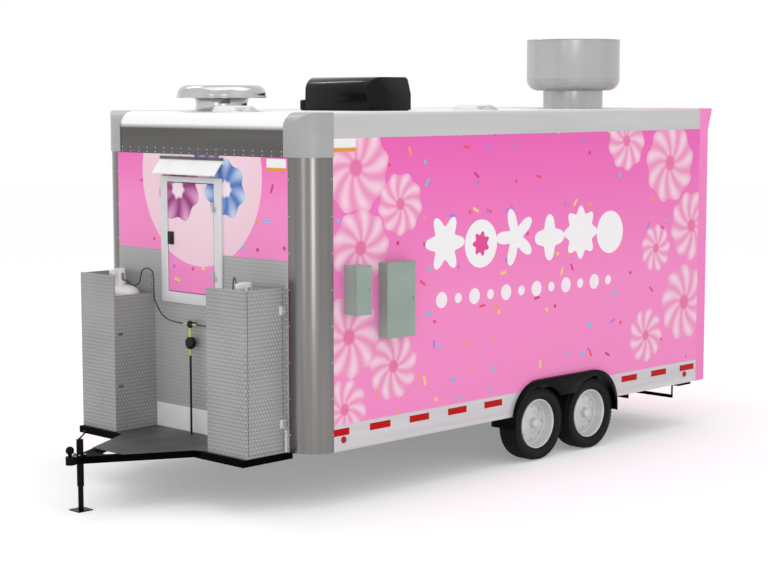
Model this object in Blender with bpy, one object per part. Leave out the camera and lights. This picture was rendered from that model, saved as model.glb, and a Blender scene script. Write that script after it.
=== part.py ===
"""Concession trailer with a tandem axle, modelled as separate named pieces.

Metres, +Z up, +X towards the hitch, +Y the driver's side of the road.
The origin is on the ground under the middle of the whole trailer.
"""

import math

import bmesh
import bpy
from mathutils import Vector

# Driving sizes of the whole trailer
body_length = 5.18
body_width = 2.59
body_height = 2.60
ride_height = 0.421
tongue_reach = 1.324
rear_flare = 0.055
wall = 0.05
seat = 0.0003
swing_gap = 0.006
overrun = 0.02

# Bands of the body's outside, from the ground up
skirt_height = 0.206
fascia_height = 0.194
header_height = 0.341
corner_radius = 0.243
corner_steps = 6
roof_round = 0.12
rear_depth = 0.134
rear_post_width = 0.10
rear_beam_height = 0.15
rear_sill_height = 0.17
rear_flare_height = 0.20
rear_panel_inset = 0.03

# Chassis
frame_depth = 0.12
rail_width = 0.06
rail_inset = 0.365
cross_width = 0.05
cross_bays = 8
floor_thickness = 0.06
roof_thickness = 0.05
roof_drop = 0.003
well_sheet = 0.012
corner_pad_gap = 0.006
corner_pad_length = 0.20
corner_pad_width = 0.07
corner_pad_drop = 0.035
well_headroom = 0.006

# Tongue, tank platform and deck
tube = 0.055
tube_width = 0.05
tongue_apex = 1.277
tongue_tip = 1.235
platform_reach = 0.455
platform_half = 1.035
platform_run_under = 0.05
tongue_root_half = 0.452
tongue_run_under = 0.25
deck_front = 0.945
deck_thickness = 0.005
gusset_x = 1.02

# Coupler
coupler_width = 0.072
coupler_rise = 0.008
socket_radius = 0.027
knob_radius = 0.033
knob_height = 0.038
knob_inset = 0.034
neck_radius = 0.014

# Jack
jack_x = 1.197
jack_radius = 0.027
jack_wall = 0.005
jack_rise = 0.13
jack_drop = 0.231
jack_flange = 0.011
jack_flange_half = 0.036
leg_clearance = 0.001
leg_reach = 0.046
foot_half = 0.065
foot_thickness = 0.008
crank_radius = 0.006
crank_arm = 0.06
crank_rise = 0.05
crank_grip = 0.03

# Wheels and running gear
tyre_radius = 0.3164
tyre_width = 0.205
rim_radius = 0.2154
rim_wall = 0.016
wheel_proud = 0.0126
axle_mid_back = 3.06
tyre_gap = 0.0852
wheel_steps = 28
tyre_height_shares = (0, 0.3, 0.75, 0.97, 1)
tyre_depth_shares = (0.15, 0.0, 0.02, 0.14, 0.27)
rim_inset_share = 0.11
disc_thickness = 0.01
disc_inset = 0.055
disc_rise = 0.014
hub_radius = 0.042
hub_reach = 0.045
rim_holes = 8
rim_hole_radius = 0.018
rim_hole_ring = 0.135
axle_radius = 0.03
drum_radius = 0.14
drum_width = 0.05
spindle_radius = 0.03
spring_half = 0.31
spring_rise = 0.036
spring_thickness = 0.026
spring_width = 0.05
hanger_length = 0.06
equaliser_length = 0.15

# Fenders over the wheels
fender_clearance = 0.0396
fender_rise = 0.288
fender_drop = 0.113
fender_round = 0.34
fender_sheet = 0.008
fender_eye = 0.338
fender_web_rise = 0.119
fender_proud = 0.039
fender_width = 0.274

# Hatch in the front wall, and its visor
hatch_mid_y = -0.085
hatch_drop = 0.5665
hatch_width = 0.575
hatch_sill = 1.1465
hatch_frame_width = 0.092
hatch_frame_proud = 0.018
visor_mid_y = -0.083
visor_half = 0.391
visor_below_edge = 0.38
visor_drop = 0.12
visor_reach = 0.10
visor_sheet = 0.008

# Gas cabinets on the platform
cabinet_margin = 0.008
cabinet_width = 0.447
cabinet_depth = 0.42
cabinet_height = 1.28
cabinet_side_height = 1.115
cabinet_sheet = 0.012
cabinet_door_foot = 0.02
cabinet_slot_width = 0.05
cabinet_slot_height = 0.02
cabinet_slot_front = 0.035
cabinet_slot_heights = (0.36, 0.79)
tank_radius = 0.165
tank_shoulder = 1.10
tank_top = 1.175
collar_radius = 0.05
collar_top = 1.312
tank_steps = 16
tank_x = 0.205
tank_inset = 0.21

# Regulator, its riser and the two hoses
regulator_x = 0.06
regulator_y = -0.055
regulator_z = 0.90
regulator_radius = 0.045
regulator_depth = 0.03
inlet_share = 1.8
riser_radius = 0.012
hose_radius = 0.005
hose_point_gap = 0.03
hose_half_route = (
    (0.2050, 0.7385, 1.2200),
    (0.1929, 0.7159, 1.2183),
    (0.1822, 0.6959, 1.2066),
    (0.1737, 0.6799, 1.1884),
    (0.1626, 0.6591, 1.1784),
    (0.1506, 0.6367, 1.1804),
    (0.1404, 0.6175, 1.1938),
    (0.1343, 0.6059, 1.2157),
    (0.1316, 0.6010, 1.2409),
    (0.1291, 0.5963, 1.2661),
    (0.1261, 0.5907, 1.2910),
    (0.1189, 0.5771, 1.3114),
    (0.1080, 0.5567, 1.3221),
    (0.0960, 0.5342, 1.3209),
    (0.0856, 0.5148, 1.3078),
    (0.0794, 0.5031, 1.2860),
    (0.0771, 0.4988, 1.2607),
    (0.0763, 0.4964, 1.2352),
    (0.0768, 0.4957, 1.2094),
    (0.0773, 0.4949, 1.1836),
    (0.0778, 0.4941, 1.1579),
    (0.0783, 0.4930, 1.1321),
    (0.0788, 0.4914, 1.1064),
    (0.0790, 0.4882, 1.0809),
    (0.0785, 0.4799, 1.0566),
    (0.0771, 0.4634, 1.0370),
    (0.0764, 0.4498, 1.0151),
    (0.0758, 0.4357, 0.9935),
    (0.0751, 0.4195, 0.9736),
    (0.0742, 0.4000, 0.9567),
    (0.0731, 0.3785, 0.9427),
    (0.0718, 0.3556, 0.9309),
    (0.0701, 0.3317, 0.9215),
    (0.0682, 0.3069, 0.9147),
    (0.0665, 0.2817, 0.9095),
    (0.0649, 0.2562, 0.9061),
    (0.0635, 0.2306, 0.9036),
    (0.0620, 0.2050, 0.9010),
)

# Boxes on the driver's side
inlet_back = 0.355
inlet_length = 0.155
inlet_depth = 0.145
inlet_low = 1.06
inlet_high = 1.436
panel_back = 0.73
panel_length = 0.31
panel_depth = 0.10
panel_low = 0.845
panel_high = 1.435
box_round = 0.012

# Roof equipment
ac_back = 1.75
ac_length = 0.46
ac_width = 0.90
ac_height = 0.285
ac_base = 0.045
ac_flange = 0.008
ac_nose_rise = 0.11
ac_nose_run = 0.14
ac_edge = 0.025
ac_corner = 0.03
mushroom_back = 0.59
mushroom_y = -0.40
mushroom_radius = 0.345
mushroom_neck = 0.195
mushroom_low = 0.13
mushroom_high = 0.215
fan_back = 4.50
fan_y = 0.20
fan_radius = 0.445
fan_neck = 0.285
fan_low = 0.172
fan_high = 0.655
fan_round = 0.11
fan_sheet = 0.01
fan_motor_radius = 0.17
fan_motor_height = 0.22
fan_motor_bevel = 0.03
vent_radius = 0.11
vent_height = 0.034
front_vent_back = 0.385
front_vent_y = 0.0
rear_vent_back = 2.84
rear_vent_y = 0.40

# Serving side
window_front_back = 0.95
window_length = 2.2
window_tall = 1.0
window_drop = 0.521
glass_frame = 0.05
glass_depth = 0.03
glass_thickness = 0.006
shelf_depth = 0.34
shelf_thickness = 0.03
shelf_standoff = 0.065
shelf_bracket = 0.04
shelf_drop = 0.06

# Rear door
door_width = 0.84
door_drop = 0.461
door_sill = 0.042

# Hinges
hinge_radius = 0.009
hinge_length = 0.04
hinge_leaf = 0.035
hinge_leaf_thickness = 0.004

# Waste tank under the rear of the floor, and its cradle
waste_front_back = 4.44
waste_length = 0.30
waste_drop = 0.105
waste_round = 0.02
cradle_bar = 0.03
cradle_strap = 0.012

half_width = body_width / 2
nose = (body_length + rear_flare - tongue_reach) / 2
tail = nose - body_length
skirt_top = ride_height + skirt_height
roof_edge = ride_height + body_height
fascia_bottom = roof_edge - fascia_height
header_bottom = roof_edge - header_height
frame_bottom = ride_height + seat
frame_top = frame_bottom + frame_depth
floor_bottom = frame_top + seat
floor_top = floor_bottom + floor_thickness
rear_front = tail + rear_depth
flat_half = half_width - corner_radius
inner_half = half_width - wall
rail_centre = half_width - rail_inset
rail_out = rail_centre + rail_width / 2
waste_half = rail_centre - rail_width / 2
well_edge = rail_out + seat + well_sheet
wheel_outer_y = half_width + wheel_proud
spring_low = tyre_radius + axle_radius * 0.8
axle_spacing = 2 * tyre_radius + tyre_gap
axle_x = [nose - axle_mid_back + axle_spacing / 2, nose - axle_mid_back - axle_spacing / 2]
well_mid = nose - axle_mid_back
fender_half = axle_spacing / 2 + tyre_radius + fender_clearance
fender_top = ride_height + fender_rise
fender_low = ride_height - fender_drop
cabinet_outer = platform_half - cabinet_margin
cabinet_inner = cabinet_outer - cabinet_width
tank_y = cabinet_inner + tank_inset
hatch_high = roof_edge - hatch_drop
hatch_low = ride_height + hatch_sill
hatch_tall = hatch_high - hatch_low
window_high = roof_edge - window_drop
window_low = window_high - window_tall
door_high = roof_edge - door_drop
door_low = floor_top + door_sill


def material(name, colour, roughness, metallic):
    """One plain painted, plated or moulded finish."""
    made = bpy.data.materials.get(name) or bpy.data.materials.new(name)
    made.use_nodes = True
    shader = made.node_tree.nodes["Principled BSDF"]
    shader.inputs["Base Color"].default_value = (*colour, 1.0)
    shader.inputs["Roughness"].default_value = roughness
    shader.inputs["Metallic"].default_value = metallic
    return made


pink_skin = material("pink_skin", (0.85, 0.26, 0.53), 0.35, 0.0)
bright_trim = material("bright_trim", (0.62, 0.62, 0.62), 0.25, 0.8)
plate_metal = material("plate_metal", (0.40, 0.41, 0.42), 0.35, 0.9)
white_paint = material("white_paint", (0.85, 0.85, 0.84), 0.45, 0.0)
black_paint = material("black_paint", (0.012, 0.012, 0.012), 0.5, 0.0)
box_paint = material("box_paint", (0.28, 0.35, 0.31), 0.5, 0.0)
rubber = material("rubber", (0.015, 0.015, 0.015), 0.85, 0.0)
alloy = material("alloy", (0.55, 0.55, 0.56), 0.3, 0.9)
brass = material("brass", (0.60, 0.55, 0.25), 0.35, 0.9)
glass = material("glass", (0.30, 0.36, 0.38), 0.05, 0.0)
deck_paint = material("deck_paint", (0.08, 0.08, 0.085), 0.6, 0.2)


def mesh_object(name, shape, finish, smooth_angle=None):
    """Turns a bmesh into a named object with one finish."""
    bmesh.ops.recalc_face_normals(shape, faces=shape.faces)
    mesh = bpy.data.meshes.new(name)
    shape.to_mesh(mesh)
    shape.free()
    mesh.materials.append(finish)
    made = bpy.data.objects.new(name, mesh)
    bpy.context.scene.collection.objects.link(made)
    if smooth_angle:
        mesh.shade_smooth()
        mesh.set_sharp_from_angle(angle=smooth_angle)
    return made


def block(name, low, high, finish=black_paint):
    """A box between two corners."""
    shape = bmesh.new()
    middle = (Vector(low) + Vector(high)) / 2
    size = Vector(high) - Vector(low)
    bmesh.ops.create_cube(shape, size=1)
    bmesh.ops.scale(shape, vec=size, verts=shape.verts)
    bmesh.ops.translate(shape, vec=middle, verts=shape.verts)
    return mesh_object(name, shape, finish)


def blocks(name, spans, finish=black_paint):
    """Several boxes that don't touch, in one cutter."""
    shape = bmesh.new()
    for low, high in spans:
        middle = (Vector(low) + Vector(high)) / 2
        size = Vector(high) - Vector(low)
        cube = bmesh.ops.create_cube(shape, size=1)["verts"]
        bmesh.ops.scale(shape, vec=size, verts=cube)
        bmesh.ops.translate(shape, vec=middle, verts=cube)
    return mesh_object(name, shape, finish)


def prism(name, outline, axis, low, high, finish=black_paint, smooth_angle=None):
    """A closed outline pushed along an axis: outline points are the other two coordinates."""
    place = {
        "X": lambda u, v, w: (w, u, v),
        "Y": lambda u, v, w: (u, w, v),
        "Z": lambda u, v, w: (u, v, w),
    }[axis]
    shape = bmesh.new()
    base = [shape.verts.new(place(u, v, low)) for u, v in outline]
    face = shape.faces.new(base)
    pushed = bmesh.ops.extrude_face_region(shape, geom=[face])["geom"]
    moved = [item for item in pushed if isinstance(item, bmesh.types.BMVert)]
    step = Vector(place(0, 0, high)) - Vector(place(0, 0, low))
    bmesh.ops.translate(shape, vec=step, verts=moved)
    return mesh_object(name, shape, finish, smooth_angle)


def turned(name, profile, centre, axis, steps, finish, sweep=math.tau, start=0.0, smooth=0.6):
    """A profile of (radius, height) points turned about an axis through centre."""
    place = {
        "X": lambda r, h, a: (h, r * math.cos(a), r * math.sin(a)),
        "Y": lambda r, h, a: (r * math.sin(a), h, r * math.cos(a)),
        "Z": lambda r, h, a: (r * math.cos(a), r * math.sin(a), h),
    }[axis]
    whole = abs(sweep - math.tau) < 1e-9
    count = steps if whole else steps + 1
    shape = bmesh.new()
    rings = []
    for index in range(count):
        angle = start + sweep * index / steps
        rings.append([shape.verts.new(Vector(centre) + Vector(place(r, h, angle))) for r, h in profile])
    size = len(profile)
    for index in range(steps):
        here = rings[index]
        there = rings[(index + 1) % count]
        for corner in range(size):
            after = (corner + 1) % size
            shape.faces.new((here[corner], here[after], there[after], there[corner]))
    if not whole:
        shape.faces.new(rings[0])
        shape.faces.new(rings[-1])
    bmesh.ops.remove_doubles(shape, verts=shape.verts, dist=1e-5)
    bmesh.ops.dissolve_degenerate(shape, edges=shape.edges, dist=1e-6)
    return mesh_object(name, shape, finish, smooth)


def lofted(name, rings, finish, smooth=None):
    """Closed skin over rings of points, each ring with the same number of points."""
    shape = bmesh.new()
    loops = [[shape.verts.new(point) for point in ring] for ring in rings]
    count = len(rings[0])
    for low, high in zip(loops, loops[1:]):
        for index in range(count):
            after = (index + 1) % count
            shape.faces.new((low[index], low[after], high[after], high[index]))
    shape.faces.new(loops[0])
    shape.faces.new(loops[-1])
    return mesh_object(name, shape, finish, smooth)


def rounded_ring(centre, half_x, half_y, radius, height, steps=2):
    """A level ring: a rectangle with round corners."""
    ring = []
    corners = ((1, 1, 0), (-1, 1, 90), (-1, -1, 180), (1, -1, 270))
    for sign_x, sign_y, start in corners:
        middle_x = centre[0] + sign_x * (half_x - radius)
        middle_y = centre[1] + sign_y * (half_y - radius)
        ring += [(x, y, height) for x, y in arc(middle_x, middle_y, radius, start, start + 90, steps)]
    return ring


def rod(name, start, end, radius, steps=12, finish=black_paint):
    """A round bar between two points."""
    start = Vector(start)
    end = Vector(end)
    run = end - start
    shape = bmesh.new()
    bmesh.ops.create_cone(
        shape, cap_ends=True, segments=steps, radius1=radius, radius2=radius, depth=run.length
    )
    turn = Vector((0, 0, 1)).rotation_difference(run.normalized()).to_matrix()
    bmesh.ops.rotate(shape, cent=(0, 0, 0), matrix=turn, verts=shape.verts)
    bmesh.ops.translate(shape, vec=(start + end) / 2, verts=shape.verts)
    return mesh_object(name, shape, finish, 0.6)


def combine(body, tools, operation):
    """Applies one Boolean for each tool, then removes the tools."""
    for tool in tools:
        step = body.modifiers.new(operation.lower(), "BOOLEAN")
        step.operation = operation
        step.solver = "EXACT"
        step.object = tool
        bpy.context.view_layer.update()
        graph = bpy.context.evaluated_depsgraph_get()
        made = bpy.data.meshes.new_from_object(body.evaluated_get(graph))
        body.modifiers.clear()
        old = body.data
        body.data = made
        bpy.data.meshes.remove(old)
        bpy.data.objects.remove(tool)
    body.data.name = body.name
    return body


def cut(body, *tools):
    return combine(body, tools, "DIFFERENCE")


def unite(body, *tools):
    return combine(body, tools, "UNION")


def arc(centre_u, centre_v, radius, start, end, steps):
    """Points along a round stretch of an outline, angles in degrees."""
    points = []
    for index in range(steps + 1):
        angle = math.radians(start + (end - start) * index / steps)
        points.append((centre_u + radius * math.cos(angle), centre_v + radius * math.sin(angle)))
    return points


def rounded_front(back, front, half, radius, steps=corner_steps):
    """Plan of a slab with square back corners and round front corners."""
    points = [(back, -half)]
    points += arc(front - radius, -half + radius, radius, -90, 0, steps)
    points += arc(front - radius, half - radius, radius, 0, 90, steps)
    points.append((back, half))
    return points


def span_box(name, origin, directions, spans):
    """A box given by spans along three directions from an origin."""
    corners = []
    for pick in range(2):
        corner = Vector(origin)
        for direction, span in zip(directions, spans):
            corner = corner + Vector(direction) * span[pick]
        corners.append(corner)
    low = [min(a, b) for a, b in zip(*corners)]
    high = [max(a, b) for a, b in zip(*corners)]
    return block(name, low, high)


def hinges(face_point, along, out, away, places):
    """Knuckles and leaves for hinges whose axis runs along one direction, just proud of a face.

    Returns the pieces for the fixed side and the pieces for the moving side.
    """
    fixed = []
    moving = []
    along = Vector(along)
    out = Vector(out)
    away = Vector(away)
    half_gap = swing_gap / 2
    for place in places:
        foot = Vector(face_point) + along * place
        pin = foot + out * hinge_radius
        middle = pin + along * hinge_length
        fixed.append(rod("knuckle", pin, middle, hinge_radius, 8))
        end = middle + along * (hinge_length + seat)
        moving.append(rod("knuckle", middle + along * seat, end, hinge_radius, 8))
        leaf_out = (-hinge_leaf_thickness / 2, hinge_leaf_thickness)
        fixed.append(span_box("leaf", foot, (along, out, away),
                              ((0, hinge_length), leaf_out, (half_gap, hinge_leaf))))
        moving.append(span_box("leaf", foot, (along, out, -away),
                               ((hinge_length + seat, 2 * hinge_length + seat), leaf_out,
                                (half_gap, hinge_leaf))))
    return fixed, moving


def arch_outline(grow):
    """Side view of the wheel opening, grown outwards by a distance."""
    half = fender_half + grow
    top = fender_top + grow
    radius = fender_round + grow
    low = fender_low
    points = [(well_mid + half, low)]
    points += arc(well_mid + half - radius, top - radius, radius, 0, 90, 6)
    points += arc(well_mid - half + radius, top - radius, radius, 90, 180, 6)
    points.append((well_mid - half, low))
    return points


def make_main_frame():
    """Ladder frame: two long rails, cross members and outriggers, with the spring hangers."""
    back = rear_front + seat
    front = nose - wall - seat
    outer = inner_half - seat
    plan = rounded_front(back, front, outer, corner_radius - wall - seat)
    frame = prism("main_frame", plan, "Z", frame_bottom, frame_top, black_paint)
    low = frame_bottom - overrun
    high = frame_top + overrun
    rail_in = rail_centre - rail_width / 2
    pitch = (front - back - cross_width) / cross_bays
    edge_bar = cross_width
    spans = []
    for bay in range(cross_bays):
        start = back + cross_width + bay * pitch
        end = start + pitch - cross_width
        spans.append(((start, -rail_in, low), (end, rail_in, high)))
        side_end = min(end, nose - corner_radius - cross_width)
        near_wheels = start < well_mid + fender_half and end > well_mid - fender_half
        if not near_wheels:
            spans.append(((start, rail_out, low), (side_end, outer - edge_bar, high)))
            spans.append(((start, -outer + edge_bar, low), (side_end, -rail_out, high)))
    cut(frame, blocks("bays", spans))
    well_low = well_mid - fender_half - well_sheet
    well_high = well_mid + fender_half + well_sheet
    notches = []
    for side in (1, -1):
        edges = sorted((side * rail_out, side * half_width))
        notches.append(((well_low, edges[0], low), (well_high, edges[1], high)))
    cut(frame, blocks("notches", notches))
    eye_top = spring_low + spring_rise + spring_thickness
    for side in (1, -1):
        y_low = side * rail_centre - spring_width / 2
        y_high = side * rail_centre + spring_width / 2
        places = [
            (axle_x[0] + spring_half, hanger_length),
            (well_mid, equaliser_length),
            (axle_x[1] - spring_half, hanger_length),
        ]
        for middle, length in places:
            hanger = block("hanger", (middle - length / 2, y_low, eye_top + seat),
                           (middle + length / 2, y_high, frame_bottom + overrun))
            unite(frame, hanger)
        pad_back = rear_front + corner_pad_gap
        edges = sorted((side * outer, side * (outer - corner_pad_width)))
        pad = block("corner_pad", (pad_back, edges[0], frame_bottom - corner_pad_drop),
                    (pad_back + corner_pad_length, edges[1], frame_bottom + overrun))
        unite(frame, pad)
    return frame


def rail_edge(x, inset):
    """Half width of the tongue at a distance in front of the wall, inset from the outer edge."""
    slope = tongue_root_half / (tongue_apex - platform_reach)
    return slope * (tongue_apex - x) - inset * math.sqrt(1 + slope * slope)


def make_tongue():
    """A-frame and tank platform, one level of tube welded under the ladder frame."""
    back = -tongue_run_under
    under = -platform_run_under
    plan = [(nose + back, -rail_edge(back, 0)), (nose + under, -rail_edge(under, 0))]
    plan += [(nose + under, -platform_half), (nose + platform_reach, -platform_half)]
    plan.append((nose + platform_reach, -tongue_root_half))
    plan.append((nose + tongue_tip, -rail_edge(tongue_tip, 0)))
    plan.append((nose + tongue_tip, rail_edge(tongue_tip, 0)))
    plan.append((nose + platform_reach, tongue_root_half))
    plan += [(nose + platform_reach, platform_half), (nose + under, platform_half)]
    plan += [(nose + under, rail_edge(under, 0)), (nose + back, rail_edge(back, 0))]
    tongue = prism("tongue", plan, "Z", ride_height - tube, ride_height, black_paint)
    low = ride_height - tube - overrun
    high = ride_height + overrun
    first = back + tube_width
    middle = [(nose + first, -rail_edge(first, tube_width))]
    middle += [(nose + gusset_x, -rail_edge(gusset_x, tube_width))]
    middle += [(nose + gusset_x, rail_edge(gusset_x, tube_width))]
    middle += [(nose + first, rail_edge(first, tube_width))]
    cut(tongue, prism("middle", middle, "Z", low, high))
    bay_front = platform_reach - tube_width
    bay_back = under + tube_width
    for side in (1, -1):
        side_bay = [(nose + bay_back, side * rail_edge(bay_back, 0))]
        side_bay += [(nose + bay_front, side * rail_edge(bay_front, 0))]
        side_bay += [(nose + bay_front, side * (platform_half - tube_width))]
        side_bay += [(nose + bay_back, side * (platform_half - tube_width))]
        cut(tongue, prism("side_bay", side_bay, "Z", low, high))
    centre = (nose + jack_x, 0, 0)
    hole = [(0, low), (jack_radius + seat, low), (jack_radius + seat, high), (0, high)]
    cut(tongue, turned("jack_hole", hole, centre, "Z", tank_steps, black_paint))
    return tongue


def make_deck():
    """Treadplate deck over the A-frame, between the two gas cabinets."""
    inner = cabinet_inner - seat
    cabinet_front = cabinet_depth + seat
    front_half = rail_edge(deck_front, 0)
    plan = [(nose + seat, -inner), (nose + cabinet_front, -inner)]
    plan += [(nose + platform_reach, -tongue_root_half), (nose + deck_front, -front_half)]
    plan += [(nose + deck_front, front_half), (nose + platform_reach, tongue_root_half)]
    plan += [(nose + cabinet_front, inner), (nose + seat, inner)]
    return prism("tongue_deck", plan, "Z", ride_height + seat, ride_height + deck_thickness, deck_paint)


def make_coupler():
    """Cast coupler on the tongue's tip: a round nose over the ball socket, and the latch knob."""
    half = coupler_width / 2
    low = ride_height - tube
    top = ride_height + coupler_rise
    tip_half = rail_edge(tongue_tip, 0)
    start = nose + tongue_tip + seat
    centre = nose + tongue_reach - half
    plan = [(start, -tip_half)]
    plan += arc(centre, 0, half, -90, 90, 8)
    plan.append((start, tip_half))
    coupler = prism("coupler", plan, "Z", low, top, black_paint, 0.6)
    rise = 4
    profile = [(0, low - overrun), (socket_radius, low - overrun)]
    for index in range(rise):
        angle = math.pi / 2 * index / rise
        profile.append((socket_radius * math.cos(angle), low + socket_radius * (0.5 + math.sin(angle))))
    profile.append((0, low + socket_radius * 1.5))
    cut(coupler, turned("socket", profile, (centre, 0, 0), "Z", 14, black_paint))
    knob_x = nose + tongue_reach - knob_inset
    neck = rod("neck", (knob_x, 0, top - overrun / 4), (knob_x, 0, ride_height + knob_height), neck_radius)
    unite(coupler, neck)
    ball = [(0, -knob_radius)]
    steps = 7
    for index in range(1, steps):
        angle = math.pi * index / steps
        ball.append((knob_radius * math.sin(angle), -knob_radius * math.cos(angle)))
    ball.append((0, knob_radius))
    knob_centre = (knob_x, 0, ride_height + knob_height + knob_radius / 2)
    unite(coupler, turned("knob", ball, knob_centre, "Z", 12, black_paint))
    return coupler


def make_jack():
    """Drop-leg tongue jack: outer tube with flange and crank, and the leg with its foot."""
    x = nose + jack_x
    bore = jack_radius - jack_wall
    flange_low = ride_height + seat
    jack_top = ride_height + jack_rise
    jack_bottom = ride_height - jack_drop
    leg_top = ride_height - leg_reach
    profile = [(0, jack_top - jack_wall), (bore, jack_top - jack_wall), (bore, jack_bottom)]
    profile += [(jack_radius, jack_bottom), (jack_radius, jack_top), (0, jack_top)]
    outer = turned("jack_tube", profile, (x, 0, 0), "Z", tank_steps, black_paint)
    flange = block("flange", (x - jack_flange_half, -jack_flange_half, flange_low),
                   (x + jack_flange_half, jack_flange_half, flange_low + jack_flange))
    hole = [(0, flange_low - overrun), (bore + jack_wall / 2, flange_low - overrun)]
    hole += [(bore + jack_wall / 2, flange_low + overrun), (0, flange_low + overrun)]
    cut(flange, turned("flange_hole", hole, (x, 0, 0), "Z", tank_steps, black_paint))
    unite(outer, flange)
    top = jack_top - jack_wall / 2
    arm_end = (x - crank_arm, 0, jack_top + crank_rise)
    unite(outer, rod("crank_post", (x, 0, top), (x, 0, jack_top + crank_radius * 2), crank_radius * 1.5, 10))
    unite(outer, rod("crank_arm", (x, 0, jack_top + crank_radius), arm_end, crank_radius, 8))
    unite(outer, rod("crank_grip", (arm_end[0] + crank_radius / 2, crank_radius * 1.5, arm_end[2]),
                     (arm_end[0] + crank_radius / 2, -crank_grip, arm_end[2]), crank_radius * 1.2, 8))
    leg_radius = bore - leg_clearance
    leg_low = foot_thickness / 2
    leg_profile = [(0, leg_low), (leg_radius, leg_low), (leg_radius, leg_top), (0, leg_top)]
    leg = turned("jack_leg", leg_profile, (x, 0, 0), "Z", tank_steps, alloy)
    foot = block("foot", (x - foot_half, -foot_half, 0), (x + foot_half, foot_half, foot_thickness))
    unite(leg, foot)
    return outer, leg


def make_floor():
    """Floor pan with a raised box over each pair of wheels."""
    back = rear_front + seat
    front = nose - wall - seat
    plan = rounded_front(back, front, inner_half - seat, corner_radius - wall - seat)
    floor = prism("floor", plan, "Z", floor_bottom, floor_top, plate_metal)
    well_high = fender_top + well_headroom + well_sheet
    half = fender_half + well_headroom
    for side in (1, -1):
        edges = sorted((side * (well_edge - well_sheet), side * (inner_half - seat)))
        outer = block("well", (well_mid - half - well_sheet, edges[0], floor_bottom),
                      (well_mid + half + well_sheet, edges[1], well_high))
        unite(floor, outer)
        edges = sorted((side * well_edge, side * (half_width + overrun)))
        inner = block("well_inside", (well_mid - half, edges[0], floor_bottom - overrun),
                      (well_mid + half, edges[1], well_high - well_sheet))
        cut(floor, inner)
    return floor


def make_side_wall(side, name):
    """Insulated side wall between the round corner post and the rear frame."""
    y_edges = sorted((side * inner_half, side * half_width))
    back = rear_front + seat
    front = nose - corner_radius - seat
    low = (back, y_edges[0], skirt_top + seat)
    body = block(name, low, (front, y_edges[1], fascia_bottom - seat), pink_skin)
    cut_low, cut_high = y_edges[0] - overrun, y_edges[1] + overrun
    cut(body, prism("arch", arch_outline(seat), "Y", cut_low, cut_high))
    return body


def make_skirts(side, name):
    """Bright skirt below the side wall, one length each side of the wheels."""
    y_edges = sorted((side * inner_half, side * half_width))
    lengths = {
        "_front": (well_mid, nose - corner_radius - seat),
        "_rear": (rear_front + seat, well_mid),
    }
    for end, span in lengths.items():
        low = (span[0], y_edges[0], ride_height)
        body = block(name + end, low, (span[1], y_edges[1], skirt_top), bright_trim)
        cut(body, prism("arch", arch_outline(seat), "Y", y_edges[0] - overrun, y_edges[1] + overrun))


def make_fascia(side, name):
    """Roof-edge rail with its outer top corner rolled over."""
    radius = wall / 2
    outer = side * half_width
    inner = side * inner_half
    centre = side * (half_width - radius)
    turn = (0, 90) if side > 0 else (180, 90)
    outline = [(inner, fascia_bottom), (outer, fascia_bottom)]
    outline += arc(centre, roof_edge - radius, radius, turn[0], turn[1], 4)
    outline.append((inner, roof_edge))
    return prism(name, outline, "X", rear_front + seat, nose - corner_radius - seat, bright_trim, 0.6)


def make_front_wall():
    """Front wall with the hatch opening and the hatch's raised frame."""
    half = flat_half - seat
    low = (nose - wall, -half, ride_height)
    body = block("front_wall", low, (nose, half, header_bottom - seat), pink_skin)
    y_low = hatch_mid_y - hatch_width / 2
    y_high = hatch_mid_y + hatch_width / 2
    z_low = hatch_low
    z_high = hatch_high
    rim = block("hatch_rim", (nose - wall / 2, y_low - hatch_frame_width, z_low - hatch_frame_width),
                (nose + hatch_frame_proud, y_high + hatch_frame_width, z_high + hatch_frame_width / 2))
    unite(body, rim)
    gap = swing_gap / 2
    cut(body, block("hatch_hole", (nose - wall - overrun, y_low - gap, z_low - gap),
                    (nose + hatch_frame_proud + overrun, y_high + gap, z_high + gap)))
    fixed, moving = hinges((nose + hatch_frame_proud, y_high, z_low), (0, 0, 1), (1, 0, 0), (0, 1, 0),
                           (hatch_tall / 8, hatch_tall * 0.75))
    unite(body, *fixed)
    door = block("hatch_door", (nose - wall, y_low + gap, z_low + gap),
                 (nose + hatch_frame_proud, y_high - gap, z_high - gap), white_paint)
    unite(door, *moving)
    return body, door


def make_visor():
    """Rain visor over the hatch: a bent sheet held by a rail on the wall."""
    top = roof_edge - visor_below_edge
    outline = [
        (nose + seat, top),
        (nose + seat, top - visor_sheet * 4),
        (nose + seat + visor_sheet, top - visor_sheet * 4),
        (nose + seat + visor_sheet, top - visor_sheet * 1.5),
        (nose + visor_reach - visor_sheet / 2, top - visor_drop),
        (nose + visor_reach, top - visor_drop + visor_sheet),
        (nose + seat + visor_sheet, top),
    ]
    low = visor_mid_y - visor_half
    high = visor_mid_y + visor_half
    return prism("hatch_visor", outline, "Y", low, high, white_paint)


def make_corner_post(side, name):
    """Quarter-round corner post, rolled from one sheet."""
    centre = (nose - corner_radius, side * flat_half, 0)
    inner = corner_radius - wall
    low = ride_height
    high = fascia_bottom - seat
    profile = [(inner, low), (corner_radius, low), (corner_radius, high), (inner, high)]
    start = 0 if side > 0 else -math.pi / 2
    return turned(name, profile, centre, "Z", corner_steps, bright_trim, math.pi / 2, start)


def header_profile(thickness, bottom):
    """Section of the rolled roof edge: (distance back from the face, height)."""
    points = [(0, bottom)]
    points += [(roof_round - u, v) for u, v in arc(0, roof_edge - roof_round, roof_round, 0, 90, 6)]
    points += [(corner_radius, roof_edge), (corner_radius, roof_edge - thickness)]
    inner = roof_round - thickness
    points += [(roof_round - u, v) for u, v in arc(0, roof_edge - roof_round, inner, 90, 0, 6)]
    points.append((thickness, bottom))
    return points


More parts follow.
